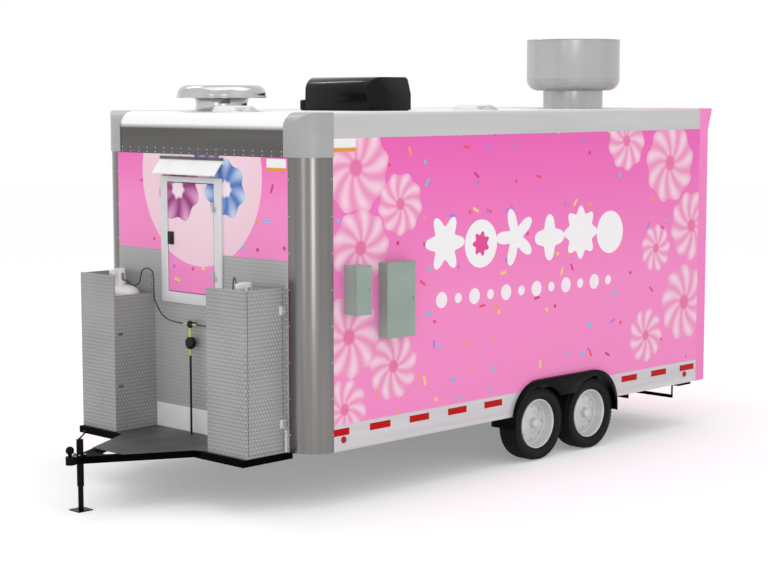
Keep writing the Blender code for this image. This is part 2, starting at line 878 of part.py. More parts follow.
def make_header():
    """Rolled front header that closes the roof's front edge."""
    outline = [(nose - back, height) for back, height in header_profile(wall, header_bottom)]
    half = flat_half - seat
    return prism("front_header", outline, "Y", -half, half, bright_trim, 0.6)


def make_corner_cap(side, name):
    """Cap over the corner post, the header's section turned through a quarter circle."""
    centre = (nose - corner_radius, side * flat_half, 0)
    profile = [(corner_radius - back, height) for back, height in header_profile(wall, fascia_bottom)]
    start = 0 if side > 0 else -math.pi / 2
    return turned(name, profile, centre, "Z", corner_steps, bright_trim, math.pi / 2, start)


def make_roof():
    """Flat roof skin with its two small plumbing vents."""
    half = inner_half - seat
    top = roof_edge - roof_drop
    body = block("roof", (rear_front + seat, -half, top - roof_thickness),
                 (nose - corner_radius - seat, half, top), white_paint)
    for back, y in ((front_vent_back, front_vent_y), (rear_vent_back, rear_vent_y)):
        profile = [(0, -roof_thickness / 2), (vent_radius, -roof_thickness / 2)]
        profile += [(vent_radius, vent_height * 0.4), (vent_radius * 0.8, vent_height), (0, vent_height)]
        unite(body, turned("vent", profile, (nose - back, y, top), "Z", 12, white_paint))
    return body


def make_rear_frame():
    """Rear portal frame with its flared top, round the rear wall."""
    outline = [
        (rear_front, ride_height),
        (rear_front, roof_edge),
        (tail - rear_flare, roof_edge),
        (tail - rear_flare, roof_edge - rear_flare_height / 8),
        (tail, roof_edge - rear_flare_height),
        (tail, ride_height),
    ]
    body = prism("rear_frame", outline, "Y", -half_width, half_width, pink_skin)
    opening = half_width - rear_post_width
    cut(body, block("rear_opening", (tail - overrun - rear_flare, -opening, ride_height + rear_sill_height),
                    (rear_front + overrun, opening, roof_edge - rear_beam_height)))
    return body


def make_rear_wall():
    """Rear wall panel with its entry door."""
    half = half_width - rear_post_width - seat
    low = ride_height + rear_sill_height + seat
    high = roof_edge - rear_beam_height - seat
    out_face = tail + rear_panel_inset
    body = block("rear_wall", (out_face, -half, low), (out_face + wall, half, high), pink_skin)
    gap = swing_gap / 2
    door_half = door_width / 2
    cut(body, block("door_hole", (out_face - overrun, -door_half - gap, door_low - gap),
                    (out_face + wall + overrun, door_half + gap, door_high + gap)))
    tall = door_high - door_low
    fixed, moving = hinges((out_face, door_half, door_low), (0, 0, 1), (-1, 0, 0), (0, 1, 0),
                           (tall * 0.1, tall * 0.5, tall * 0.85))
    unite(body, *fixed)
    door = block("rear_door", (out_face, -door_half + gap, door_low + gap),
                 (out_face + wall, door_half - gap, door_high - gap), pink_skin)
    unite(door, *moving)
    return body, door


def make_serving_side(right_wall):
    """Serving opening in the curb-side wall, its lift-up awning, glazing and folding shelf."""
    front = nose - window_front_back
    back = front - window_length
    outer = -half_width
    gap = swing_gap / 2
    cut(right_wall, block("serving_hole", (back - gap, outer - overrun, window_low - gap),
                          (front + gap, -inner_half + overrun, window_high + gap)))
    places = (window_length * 0.1, window_length * 0.5, window_length * 0.85)
    fixed, moving = hinges((back, outer, window_high), (1, 0, 0), (0, -1, 0), (0, 0, 1), places)
    unite(right_wall, *fixed)
    awning = block("serving_awning", (back + gap, outer, window_low + gap),
                   (front - gap, -inner_half, window_high - gap), pink_skin)
    unite(awning, *moving)

    frame_out = -inner_half + seat
    frame_in = frame_out + glass_depth
    frame = block("serving_frame", (back - glass_frame, frame_out, window_low - glass_frame),
                  (front + glass_frame, frame_in, window_high + glass_frame), alloy)
    panes = 4
    pitch = (window_length + glass_frame) / panes
    holes = []
    for pane in range(panes):
        start = back + pane * pitch
        low = (start, frame_out - overrun, window_low)
        holes.append((low, (start + pitch - glass_frame, frame_in + overrun, window_high)))
    cut(frame, blocks("panes", holes))
    groove = (frame_out + frame_in) / 2
    glass_back = back - glass_frame / 2
    glass_front = front + glass_frame / 2
    glass_low = window_low - glass_frame / 2
    glass_high = window_high + glass_frame / 2
    glass_out = groove - glass_thickness / 2
    glass_in = groove + glass_thickness / 2
    groove_end = (glass_front, glass_in + seat, glass_high)
    cut(frame, block("groove", (glass_back, glass_out - seat, glass_low), groove_end))
    pane = block("serving_glass", (glass_back + seat, glass_out, glass_low + seat),
                 (glass_front - seat, glass_in, glass_high - seat), glass)

    axis_z = window_low - shelf_drop
    axis_y = outer - shelf_standoff
    shelf_front = front - overrun
    shelf_back = back + overrun
    shelf_middle = (shelf_back + shelf_front) / 2
    bracket_places = (shelf_back + shelf_bracket, shelf_middle, shelf_front - 2 * shelf_bracket)
    for place in bracket_places:
        bracket = block("bracket", (place, axis_y + hinge_radius / 2, axis_z - hinge_radius),
                        (place + shelf_bracket, outer + wall / 2, axis_z + hinge_radius))
        unite(right_wall, bracket)
        pin_end = (place + shelf_bracket, axis_y, axis_z)
        unite(right_wall, rod("pin", (place, axis_y, axis_z), pin_end, hinge_radius))
    shelf_top = axis_z - hinge_radius - swing_gap
    shelf = block("serving_shelf", (shelf_back, axis_y - shelf_thickness / 2, shelf_top - shelf_depth),
                  (shelf_front, axis_y + shelf_thickness / 2, shelf_top), alloy)
    for place in bracket_places:
        start = place + shelf_bracket + seat
        arm = block("arm", (start, axis_y - hinge_radius, shelf_top - hinge_leaf),
                    (start + shelf_bracket, axis_y + hinge_radius, axis_z))
        unite(shelf, arm)
        pin_end = (start + shelf_bracket, axis_y, axis_z)
        unite(shelf, rod("pin", (start, axis_y, axis_z), pin_end, hinge_radius))
    return awning, frame, pane, shelf


def make_cabinet(side, name):
    """Open-topped gas cabinet of treadplate, with a side door on the outer side."""
    y_in = side * cabinet_inner
    y_out = side * cabinet_outer
    back = nose + seat
    front = nose + cabinet_depth
    low = ride_height + seat
    high = ride_height + cabinet_height
    edges = sorted((y_in, y_out))
    body = block(name, (back, edges[0], low), (front, edges[1], high), plate_metal)
    inside = sorted((y_in + side * cabinet_sheet, y_out - side * cabinet_sheet))
    cut(body, block("inside", (back + cabinet_sheet, inside[0], low + cabinet_sheet),
                    (front - cabinet_sheet, inside[1], high + overrun)))
    lower = sorted((y_in - side * overrun, y_in + side * (cabinet_sheet + overrun)))
    cut(body, block("lower_side", (back - overrun, lower[0], ride_height + cabinet_side_height),
                    (front - cabinet_sheet, lower[1], high + overrun)))
    for slot_height in cabinet_slot_heights:
        slot_low = (front - cabinet_slot_front - cabinet_slot_width, lower[0], ride_height + slot_height)
        slot_high = (front - cabinet_slot_front, lower[1], ride_height + slot_height + cabinet_slot_height)
        cut(body, block("vent_slot", slot_low, slot_high))
    gap = swing_gap / 2
    door_back = back + cabinet_sheet * 3
    door_front = front - cabinet_sheet * 2
    door_low = low + cabinet_door_foot
    opening = sorted((y_out - side * (cabinet_sheet + overrun), y_out + side * overrun))
    cut(body, block("doorway", (door_back, opening[0], door_low), (door_front, opening[1], high + overrun)))
    tall = high - door_low
    fixed, moving = hinges((door_back + gap, y_out, door_low), (0, 0, 1), (0, side, 0), (-1, 0, 0),
                           (tall * 0.13, tall * 0.82))
    unite(body, *fixed)
    leaf = sorted((y_out, y_out - side * cabinet_sheet))
    door = block(name + "_door", (door_back + 2 * gap, leaf[0], door_low + gap),
                 (door_front - 2 * gap, leaf[1], high - gap), plate_metal)
    unite(door, *moving)
    return body, door


def make_gas_tank(side, name):
    """Upright gas cylinder with a domed shoulder and a round valve collar."""
    low = ride_height + seat + cabinet_sheet + seat
    shoulder = ride_height + tank_shoulder
    top = ride_height + tank_top
    collar = ride_height + collar_top
    profile = [(0, low), (tank_radius * 0.8, low), (tank_radius, low + tank_radius * 0.15)]
    profile.append((tank_radius, shoulder))
    steps = 5
    for index in range(1, steps):
        angle = math.pi / 2 * index / steps
        profile.append((collar_radius + (tank_radius - collar_radius) * math.cos(angle),
                        shoulder + (top - shoulder) * math.sin(angle)))
    profile += [(collar_radius, top), (collar_radius, collar), (collar_radius * 0.8, collar)]
    profile += [(collar_radius * 0.8, top + seat), (0, top + seat)]
    return turned(name, profile, (nose + tank_x, side * tank_y, 0), "Z", tank_steps, white_paint)


def make_regulator():
    """Two-stage gas regulator on the wall, with its riser down to the deck."""
    x = nose + regulator_x
    y = regulator_y
    z = ride_height + regulator_z
    body = rod("regulator", (x - regulator_depth / 2, y, z - regulator_radius * 3),
               (x + regulator_depth / 2, y, z - regulator_radius * 3), regulator_radius, 14, black_paint)
    half = regulator_depth / 2
    unite(body, rod("changeover", (x - half, y, z), (x + half, y, z), regulator_radius * 0.8, 12))
    reach = regulator_radius * inlet_share
    unite(body, rod("inlets", (x, y - reach, z), (x, y + reach, z), riser_radius, 8))
    unite(body, rod("riser", (x, y, ride_height + deck_thickness + seat), (x, y, z), riser_radius, 8))
    unite(body, block("bracket", (nose + seat, y - riser_radius * 2, z - riser_radius * 2),
                      (x, y + riser_radius * 2, z + riser_radius * 2)))
    return body


def make_hose(name, route):
    """A rubber pigtail hose along its own points."""
    curve = bpy.data.curves.new(name, "CURVE")
    curve.dimensions = "3D"
    curve.bevel_depth = hose_radius
    curve.bevel_resolution = 2
    curve.use_fill_caps = True
    spline = curve.splines.new("POLY")
    spline.points.add(len(route) - 1)
    for slot, point in zip(spline.points, route):
        slot.co = (*point, 1.0)
    curve.materials.append(rubber)
    made = bpy.data.objects.new(name, curve)
    bpy.context.scene.collection.objects.link(made)
    return made


def make_side_box(name, back, length, depth, low, high):
    """Weatherproof electrical box on the driver's side wall."""
    y_low = half_width + seat
    outline = [(nose - back - length, y_low), (nose - back, y_low)]
    y_high = half_width + depth
    outline += arc(nose - back - box_round, y_high - box_round, box_round, 0, 90, 3)
    outline += arc(nose - back - length + box_round, y_high - box_round, box_round, 90, 180, 3)
    return prism(name, outline, "Z", ride_height + low, ride_height + high, box_paint, 0.6)


def make_air_conditioner():
    """Low rooftop air conditioner: a flat base pan, and a shroud with a rounded nose facing forward."""
    middle = nose - ac_back
    low = roof_edge - roof_drop + seat
    shoulder = low + ac_base
    top = low + ac_height
    half_x = ac_length / 2
    half_y = ac_width / 2
    rings = [rounded_ring((middle, 0), half_x, half_y, ac_corner, low)]
    rings.append(rounded_ring((middle, 0), half_x, half_y, ac_corner, shoulder))
    small = half_y - ac_flange
    rings.append(rounded_ring((middle, 0), half_x - ac_flange, small, ac_corner, shoulder + seat))
    steps = 5
    for index in range(steps + 1):
        angle = math.pi / 2 * index / steps
        height = top - ac_nose_rise * (1 - math.sin(angle))
        front_in = ac_flange + ac_nose_run * (1 - math.cos(angle))
        near_top = max(0.0, height - (top - ac_edge)) / ac_edge
        edge_in = ac_flange + ac_edge * (1 - math.sqrt(max(0.0, 1 - near_top * near_top)))
        centre = (middle + (edge_in - front_in) / 2, 0)
        reach_x = half_x - (edge_in + front_in) / 2
        rings.append(rounded_ring(centre, reach_x, half_y - edge_in, ac_corner, height))
    return lofted("air_conditioner", rings, black_paint, math.radians(35))


def make_mushroom_vent():
    """Plumbing and air vent with a wide spun cap on a round neck."""
    low = roof_edge - roof_drop + seat
    under = low + mushroom_low
    top = low + mushroom_high
    round_edge = mushroom_high - mushroom_low
    profile = [(0, low), (mushroom_neck, low), (mushroom_neck, under), (mushroom_radius, under)]
    steps = 5
    for index in range(1, steps):
        angle = math.pi / 2 * index / steps
        radius = mushroom_radius - round_edge * (1 - math.cos(angle))
        profile.append((radius, under + round_edge * math.sin(angle)))
    profile += [(mushroom_radius - round_edge, top), (0, top)]
    return turned("mushroom_vent", profile, (nose - mushroom_back, mushroom_y, 0), "Z", 24, alloy)


def make_exhaust_fan():
    """Upblast exhaust fan: an open spun drum over a round curb, with its motor can inside."""
    low = roof_edge - roof_drop + seat
    under = low + fan_low
    top = low + fan_high
    motor_top = under + fan_motor_height
    profile = [(0, low), (fan_neck, low), (fan_neck, under), (fan_radius - fan_round, under)]
    steps = 5
    for index in range(1, steps):
        angle = -math.pi / 2 + math.pi / 2 * index / steps
        profile.append((fan_radius - fan_round + fan_round * math.cos(angle),
                        under + fan_round + fan_round * math.sin(angle)))
    inside = fan_radius - fan_sheet
    profile += [(fan_radius, under + fan_round), (fan_radius, top), (inside, top)]
    profile += [(inside, under + fan_round), (fan_neck, under + fan_sheet)]
    profile += [(fan_motor_radius, under + fan_sheet), (fan_motor_radius, motor_top - fan_motor_bevel)]
    profile += [(fan_motor_radius - fan_motor_bevel, motor_top), (0, motor_top)]
    return turned("exhaust_fan", profile, (nose - fan_back, fan_y, 0), "Z", 24, alloy)


def make_fender(side, name):
    """Tandem teardrop fender: a steel band over both wheels, its face cut round each tyre."""
    outer = half_width + fender_proud
    inner = outer - fender_width
    body_edges = sorted((side * inner, side * outer))
    body = prism(name, arch_outline(0), "Y", body_edges[0], body_edges[1], black_paint, 0.6)
    inside = arch_outline(-fender_sheet)
    inside[0] = (inside[0][0], fender_low - overrun)
    inside[-1] = (inside[-1][0], fender_low - overrun)
    hollow = sorted((side * (inner - overrun), side * (outer - fender_sheet)))
    cut(body, prism("hollow", inside, "Y", hollow[0], hollow[1]))
    through = sorted((side * (outer - fender_sheet - overrun), side * (outer + overrun)))
    for x in axle_x:
        disc = [(0, through[0]), (fender_eye, through[0]), (fender_eye, through[1]), (0, through[1])]
        cut(body, turned("eye", disc, (x, 0, tyre_radius), "Y", wheel_steps, black_paint))
    web_low = ride_height + fender_web_rise
    cut(body, block("below_web", (axle_x[1], through[0], fender_low - overrun),
                    (axle_x[0], through[1], web_low)))
    return body


def make_axle(x, name):
    """Beam axle with brake drums, spindles and its two leaf springs."""
    z = tyre_radius
    disc_y = wheel_outer_y - disc_inset - disc_thickness
    drum_out = wheel_outer_y - tyre_width + drum_width
    drum_in = drum_out - drum_width
    end = disc_y - seat
    profile = [(0, -end), (spindle_radius, -end), (spindle_radius, -drum_out), (drum_radius, -drum_out)]
    profile += [(drum_radius, -drum_in), (axle_radius, -drum_in)]
    profile += [(r, -y) for r, y in reversed(profile)]
    axle = turned(name, profile, (x, 0, z), "Y", 12, black_paint)
    for side in (1, -1):
        y_low = side * rail_centre - spring_width / 2
        y_high = side * rail_centre + spring_width / 2
        outline = []
        steps = 8
        for index in range(steps + 1):
            share = -1 + 2 * index / steps
            leaf_low = spring_low + spring_rise * share * share
            outline.append((x + spring_half * share, leaf_low + spring_thickness))
        for index in range(steps + 1):
            share = 1 - 2 * index / steps
            outline.append((x + spring_half * share, spring_low + spring_rise * share * share))
        unite(axle, prism("spring", outline, "Y", y_low, y_high))
    return axle


def make_wheel(x, side, suffix):
    """Tyre and pressed steel rim, turned about the axle."""
    centre = (x, 0, tyre_radius)
    outer = side * wheel_outer_y
    inner = side * (wheel_outer_y - tyre_width)
    inward = -side
    bead = rim_radius + seat
    section = tyre_radius - bead
    tread = [
        (bead + section * share, outer + inward * tyre_width * depth)
        for share, depth in zip(tyre_height_shares, tyre_depth_shares)
    ]
    mirrored = [(r, outer + inner - y) for r, y in reversed(tread)]
    tyre = turned("tyre_" + suffix, tread + mirrored, centre, "Y", wheel_steps, rubber)

    flange = tyre_width * rim_inset_share
    rim_out = outer + inward * flange
    rim_in = inner - inward * flange
    disc_out = outer + inward * disc_inset
    disc_in = disc_out + inward * disc_thickness
    crown = disc_out - inward * disc_rise
    bore = rim_radius - rim_wall
    profile = [
        (0, disc_in),
        (bore, disc_in),
        (bore, rim_in),
        (rim_radius, rim_in),
        (rim_radius, rim_out),
        (bore, rim_out),
        (bore, disc_out),
        (rim_hole_ring + rim_hole_radius * 1.4, crown),
        (hub_radius, crown),
        (hub_radius, disc_out - inward * hub_reach),
        (0, disc_out - inward * hub_reach),
    ]
    rim = turned("rim_" + suffix, profile, centre, "Y", wheel_steps, alloy)
    reach = sorted((disc_in + inward * overrun, crown - inward * overrun))
    for index in range(rim_holes):
        angle = math.tau * (index + 0.5) / rim_holes
        hole_x = x + rim_hole_ring * math.sin(angle)
        hole_z = tyre_radius + rim_hole_ring * math.cos(angle)
        cut(rim, rod("hole", (hole_x, reach[0], hole_z), (hole_x, reach[1], hole_z), rim_hole_radius, 8))
    return tyre, rim


def make_waste_tank():
    """Moulded waste-water tank under the rear of the frame."""
    front = nose - waste_front_back
    top = frame_bottom - seat
    low = top - waste_drop
    centre = (front - waste_length / 2, 0)
    half_x = waste_length / 2
    small_x = half_x - waste_round
    small_y = waste_half - waste_round
    rings = [rounded_ring(centre, small_x, small_y, waste_round, low, 1)]
    rings.append(rounded_ring(centre, half_x, waste_half, 2 * waste_round, low + waste_round, 1))
    rings.append(rounded_ring(centre, half_x, waste_half, 2 * waste_round, top, 1))
    return lofted("waste_tank", rings, white_paint)


def hoop_outline(half, low, high, top):
    """A flat-bar hoop seen from behind: a bar across the bottom and a hanger at each end."""
    inner = half - cradle_strap
    points = [(-half, top), (-half, low), (half, low), (half, top)]
    points += [(inner, top), (inner, high), (-inner, high), (-inner, top)]
    return points


def make_tank_cradle():
    """Flat-bar cradle under the waste tank: a hoop at each end joined by two side bars."""
    front = nose - waste_front_back
    back = front - waste_length
    top = frame_bottom - seat
    high = top - waste_drop - seat
    low = high - cradle_bar
    rear_hoop = hoop_outline(inner_half - seat, low, high, top)
    cradle = prism("tank_cradle", rear_hoop, "X", back - cradle_strap, back - seat)
    front_hoop = hoop_outline(rail_out, low, high, top)
    unite(cradle, prism("front_hoop", front_hoop, "X", front + seat, front + cradle_strap))
    thick = cradle_strap / 2
    for side in (1, -1):
        edges = sorted((side * (waste_half - cradle_bar), side * waste_half))
        low_corner = (back - thick, edges[0], high - thick)
        unite(cradle, block("side_bar", low_corner, (front + thick, edges[1], high)))
    return cradle


for old in list(bpy.data.objects):
    bpy.data.objects.remove(old)

make_main_frame()
make_tongue()
make_deck()
make_coupler()
make_jack()
make_floor()
make_side_wall(1, "left_wall")
curb_wall = make_side_wall(-1, "right_wall")
make_serving_side(curb_wall)
make_skirts(1, "left_skirt")
make_skirts(-1, "right_skirt")
make_fascia(1, "left_fascia")
make_fascia(-1, "right_fascia")
make_front_wall()
make_visor()
make_header()
make_corner_post(1, "left_corner_post")
make_corner_post(-1, "right_corner_post")
make_corner_cap(1, "left_corner_cap")
make_corner_cap(-1, "right_corner_cap")
make_roof()
make_rear_frame()
make_rear_wall()
make_cabinet(1, "left_cabinet")
make_cabinet(-1, "right_cabinet")
make_gas_tank(1, "left_gas_tank")
make_gas_tank(-1, "right_gas_tank")
make_regulator()
make_side_box("inlet_box", inlet_back, inlet_length, inlet_depth, inlet_low, inlet_high)
make_side_box("breaker_box", panel_back, panel_length, panel_depth, panel_low, panel_high)
make_air_conditioner()
make_mushroom_vent()
make_exhaust_fan()
make_fender(1, "left_fender")
make_fender(-1, "right_fender")
make_axle(axle_x[0], "front_axle")
make_axle(axle_x[1], "rear_axle")
inlet_reach = regulator_radius * inlet_share + seat
for side, label in ((1, "left"), (-1, "right")):
    route = [Vector((nose + x, side * y, ride_height + z)) for x, y, z in hose_half_route]
    bend_end = route[-1]
    inlet = Vector((nose + regulator_x, regulator_y + side * inlet_reach, ride_height + regulator_z))
    run = inlet - bend_end
    points = round(run.length / hose_point_gap)
    route += [bend_end + run * (index + 1) / points for index in range(points)]
    make_hose("gas_hose_" + label, route)
for row, x in zip(("front", "rear"), axle_x):
    make_wheel(x, 1, row + "_left")
    make_wheel(x, -1, row + "_right")
make_waste_tank()
make_tank_cradle()
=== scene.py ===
"""A concession trailer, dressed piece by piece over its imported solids.

Metres, +Z up, +X towards the hitch, +Y the driver's side of the road.
"""

import math

import bpy
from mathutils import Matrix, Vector


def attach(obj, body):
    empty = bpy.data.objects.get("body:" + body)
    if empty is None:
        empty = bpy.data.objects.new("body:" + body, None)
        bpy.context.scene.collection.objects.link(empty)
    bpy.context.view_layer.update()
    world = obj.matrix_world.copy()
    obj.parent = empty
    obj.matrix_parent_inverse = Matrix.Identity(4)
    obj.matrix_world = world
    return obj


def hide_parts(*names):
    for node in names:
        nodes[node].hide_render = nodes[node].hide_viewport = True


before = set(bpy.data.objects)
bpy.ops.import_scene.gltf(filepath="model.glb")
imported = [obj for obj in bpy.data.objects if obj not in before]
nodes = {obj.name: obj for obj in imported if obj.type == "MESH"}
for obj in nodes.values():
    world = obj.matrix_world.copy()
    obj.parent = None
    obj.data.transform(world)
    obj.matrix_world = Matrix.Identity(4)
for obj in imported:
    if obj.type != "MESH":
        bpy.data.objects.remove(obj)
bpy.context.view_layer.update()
bpy.ops.object.select_all(action="DESELECT")

# The camera stands ahead of the hitch on the driver's side, about three
# metres up, with a long lens, and looks back along the trailer.
bpy.ops.object.camera_add(location=(11.0255, 11.005, 3.166))
camera = bpy.context.object
camera.rotation_euler = [math.radians(turn) for turn in (83.7517, 0.0562, 134.5543)]
camera.data.lens = 83.3712
camera.data.sensor_width = 36
bpy.context.scene.camera = camera

# Each gas cylinder feeds the regulator through a rubber pigtail hose, crimped
# at both ends. It rises out of the cabinet, folds over its edge and hangs
# down to the regulator on the front wall.
both_sides = ((1, "left"), (-1, "right"))
nose = 1.9555
ride_height = 0.421
hose_radius = 0.005
regulator_y = -0.055
regulator_z = ride_height + 0.9
regulator_inlet = 0.0813
hose_stand_off = 0.06
hose_point_gap = 0.03
hose_half_route = (
    (0.205, 0.7385, 1.22), (0.1929, 0.7159, 1.2183), (0.1822, 0.6959, 1.2066), (0.1737, 0.6799, 1.1884),
    (0.1626, 0.6591, 1.1784), (0.1506, 0.6367, 1.1804), (0.1404, 0.6175, 1.1938), (0.1343, 0.6059, 1.2157),
    (0.1316, 0.601, 1.2409), (0.1291, 0.5963, 1.2661), (0.1261, 0.5907, 1.291), (0.1189, 0.5771, 1.3114),
    (0.108, 0.5567, 1.3221), (0.096, 0.5342, 1.3209), (0.0856, 0.5148, 1.3078), (0.0794, 0.5031, 1.286),
    (0.0771, 0.4988, 1.2607), (0.0763, 0.4964, 1.2352), (0.0768, 0.4957, 1.2094), (0.0773, 0.4949, 1.1836),
    (0.0778, 0.4941, 1.1579), (0.0783, 0.493, 1.1321), (0.0788, 0.4914, 1.1064), (0.079, 0.4882, 1.0809),
    (0.0785, 0.4799, 1.0566), (0.0771, 0.4634, 1.037), (0.0764, 0.4498, 1.0151), (0.0758, 0.4357, 0.9935),
    (0.0751, 0.4195, 0.9736), (0.0742, 0.4, 0.9567), (0.0731, 0.3785, 0.9427), (0.0718, 0.3556, 0.9309),
    (0.0701, 0.3317, 0.9215), (0.0682, 0.3069, 0.9147), (0.0665, 0.2817, 0.9095), (0.0649, 0.2562, 0.9061),
    (0.0635, 0.2306, 0.9036), (0.062, 0.205, 0.901),
)


def tone(*levels):
    """A colour, or one grey level, given as it looks on a screen, as the light it sends back."""
    shares = [level / 255 for level in (levels if len(levels) == 3 else levels * 3)]
    return (*[s / 12.92 if s <= 0.04045 else ((s + 0.055) / 1.055) ** 2.4 for s in shares], 1.0)


def put(tree, kind, sockets=None, **settings):
    """Adds one node, sets it up, and fills or joins its sockets."""
    node = tree.nodes.new("ShaderNode" + kind)
    for key, value in settings.items():
        setattr(node, key, value)
    for key, value in (sockets or {}).items():
        if isinstance(value, bpy.types.NodeSocket):
            tree.links.new(value, node.inputs[key])
        else:
            node.inputs[key].default_value = value
    return node


def calc(tree, operation, *values):
    """One sum on numbers or sockets."""
    return put(tree, "Math", dict(enumerate(values)), operation=operation).outputs[0]


def scaled(tree, value, low, high, start=0.0, end=1.0):
    """A value from one span carried over to another, and held at its ends."""
    sockets = {"Value": value, "From Min": low, "From Max": high, "To Min": start, "To Max": end}
    return put(tree, "MapRange", sockets).outputs["Result"]


def mixed(tree, share, first, second):
    """Two colours mixed by a share."""
    return put(tree, "Mix", {0: share, 6: first, 7: second}, data_type="RGBA").outputs[2]


def effect(name, inputs, outputs):
    """A node group with named inputs, whose outputs are numbers, for an effect that finishes share."""
    group = bpy.data.node_groups.new(name, "ShaderNodeTree")
    for label, value in inputs.items():
        kind = "NodeSocketVector" if isinstance(value, tuple) else "NodeSocketFloat"
        group.interface.new_socket(label, in_out="INPUT", socket_type=kind).default_value = value
    for label in outputs:
        group.interface.new_socket(label, in_out="OUTPUT", socket_type="NodeSocketFloat")
    return group, group.nodes.new("NodeGroupInput").outputs, group.nodes.new("NodeGroupOutput").inputs


uneven, given, made = effect("uneven_surface", {"Stretch": (1, 1, 1), "Patch Scale": 3.0, "Grain Scale": 200.0},
                             ("Patches", "Grain"))
spot = put(uneven, "TexCoord").outputs["Object"]
spot = put(uneven, "Mapping", {"Vector": spot, "Scale": given["Stretch"]}).outputs[0]
patches = put(uneven, "TexNoise", {"Vector": spot, "Scale": given["Patch Scale"], "Detail": 5.0})
grain = put(uneven, "TexNoise", {"Vector": spot, "Scale": given["Grain Scale"], "Detail": 2.0})
uneven.links.new(scaled(uneven, patches.outputs["Fac"], 0.35, 0.65), made["Patches"])
uneven.links.new(grain.outputs["Fac"], made["Grain"])


def finish(name, colour, worn, gloss, metallic=0.0, stretch=(1, 1, 1), patch=3.0, grain=200.0, bump=0.0004,
           specular=0.5):
    """A painted, plated or moulded surface that is never quite even."""
    made_of = bpy.data.materials.new(name)
    made_of.use_nodes = True
    tree = made_of.node_tree
    shader = tree.nodes["Principled BSDF"]
    sockets = {"Stretch": stretch, "Patch Scale": patch, "Grain Scale": grain}
    surface = put(tree, "Group", sockets, node_tree=uneven).outputs
    tree.links.new(mixed(tree, surface["Patches"], colour, worn), shader.inputs["Base Color"])
    tree.links.new(scaled(tree, surface["Patches"], 0.0, 1.0, *gloss), shader.inputs["Roughness"])
    relief = put(tree, "Bump", {"Height": surface["Grain"], "Distance": bump, "Strength": 1.0})
    tree.links.new(relief.outputs[0], shader.inputs["Normal"])
    shader.inputs["Metallic"].default_value = metallic
    shader.inputs["Specular IOR Level"].default_value = specular
    return made_of


def fit(piece, made_of, body="trailer"):
    """Gives a finished piece its surface, and fixes it to the part it moves with."""
    piece.data.materials.clear()
    piece.data.materials.append(made_of)
    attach(piece, body)
    return piece


def smooth_line(points, per_span):
    """A line of close points through a few, without corners."""
    points = [Vector(point) for point in points]
    ends = [2 * points[0] - points[1], *points, 2 * points[-1] - points[-2]]
    line = []
    for index in range(1, len(ends) - 2):
        before, here, there, after = ends[index - 1:index + 3]
        for step in range(per_span):
            t = step / per_span
            line.append(0.5 * (2 * here + (there - before) * t
                               + (2 * before - 5 * here + 4 * there - after) * t * t
                               + (3 * here - before - 3 * there + after) * t ** 3))
    line.append(points[-1])
    return line


def drawn_tube(name, points, radius, roundness):
    """A round rod or hose along a line of points, closed at both ends."""
    line = bpy.data.curves.new(name, "CURVE")
    line.dimensions = "3D"
    line.bevel_depth = radius
    line.bevel_resolution = roundness
    line.use_fill_caps = True
    spline = line.splines.new("POLY")
    spline.points.add(len(points) - 1)
    for slot, point in zip(spline.points, points):
        slot.co = (*point, 1.0)
    piece = bpy.data.objects.new(name, line)
    bpy.context.scene.collection.objects.link(piece)
    return piece


hose_rubber = finish("hose_rubber", tone(26, 26, 27), tone(40), (0.42, 0.6), grain=500.0, bump=0.0003)
for side, label in both_sides:
    route = [Vector((nose + x, side * y, ride_height + z)) for x, y, z in hose_half_route]
    bend_end = route[-1]
    run = Vector((nose + hose_stand_off, regulator_y + side * regulator_inlet, regulator_z)) - bend_end
    points = round(run.length / hose_point_gap)
    route += [bend_end + run * (index + 1) / points for index in range(points)]
    route = smooth_line(route, 4)
    hose = fit(drawn_tube(label + "_pigtail", route, hose_radius, 3), hose_rubber)
    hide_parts("gas_hose_" + label)

# A white studio sweep stands under and behind the trailer. One broad softbox
# hangs overhead, a small one behind, and two tall strip lights stand beside the
# camera, which draw the long streaks in polished metal.
bpy.ops.mesh.primitive_plane_add(size=80)
sweep = bpy.context.object
sweep.name = "studio_floor"
bpy.ops.object.mode_set(mode="EDIT")
bpy.ops.mesh.subdivide(number_cuts=3)
bpy.ops.object.mode_set(mode="OBJECT")
white_sweep = bpy.data.materials.new("white_sweep")
white_sweep.use_nodes = True


def seen_rays(tree):
    """One for a ray that the camera sees straight, through glass or in a reflection, and nought for others."""
    rays = put(tree, "LightPath").outputs
    seen = calc(tree, "MAXIMUM", rays["Is Camera Ray"], rays["Is Transmission Ray"])
    return calc(tree, "MAXIMUM", seen, rays["Is Glossy Ray"])


tree = white_sweep.node_tree
shader = tree.nodes["Principled BSDF"]
shader.inputs["Base Color"].default_value = (0.86, 0.86, 0.86, 1.0)
shader.inputs["Roughness"].default_value = 0.9
shader.inputs["Specular IOR Level"].default_value = 0.1
tree.links.new(calc(tree, "MULTIPLY", seen_rays(tree), 0.24), shader.inputs["Emission Strength"])
shader.inputs["Emission Color"].default_value = (1, 1, 1, 1)
sweep.data.materials.append(white_sweep)

world = bpy.data.worlds.new("white_room")
bpy.context.scene.world = world
world.use_nodes = True
tree = world.node_tree
room = tree.nodes["Background"].inputs
tree.links.new(scaled(tree, seen_rays(tree), 0.0, 1.0, 0.86, 1.0), room["Strength"])
room["Color"].default_value = (1, 1, 1, 1)


def softbox(name, place, aim, width, height, radiance):
    """A rectangular lamp, turned to face a point, of a given brightness per area."""
    bpy.ops.object.light_add(type="AREA", location=place)
    lamp = bpy.context.object
    lamp.name = name
    lamp.data.shape = "RECTANGLE"
    lamp.data.size = width
    lamp.data.size_y = height
    lamp.data.energy = radiance * math.pi * width * height
    lamp.rotation_euler = (Vector(aim) - Vector(place)).to_track_quat("-Z", "Y").to_euler()


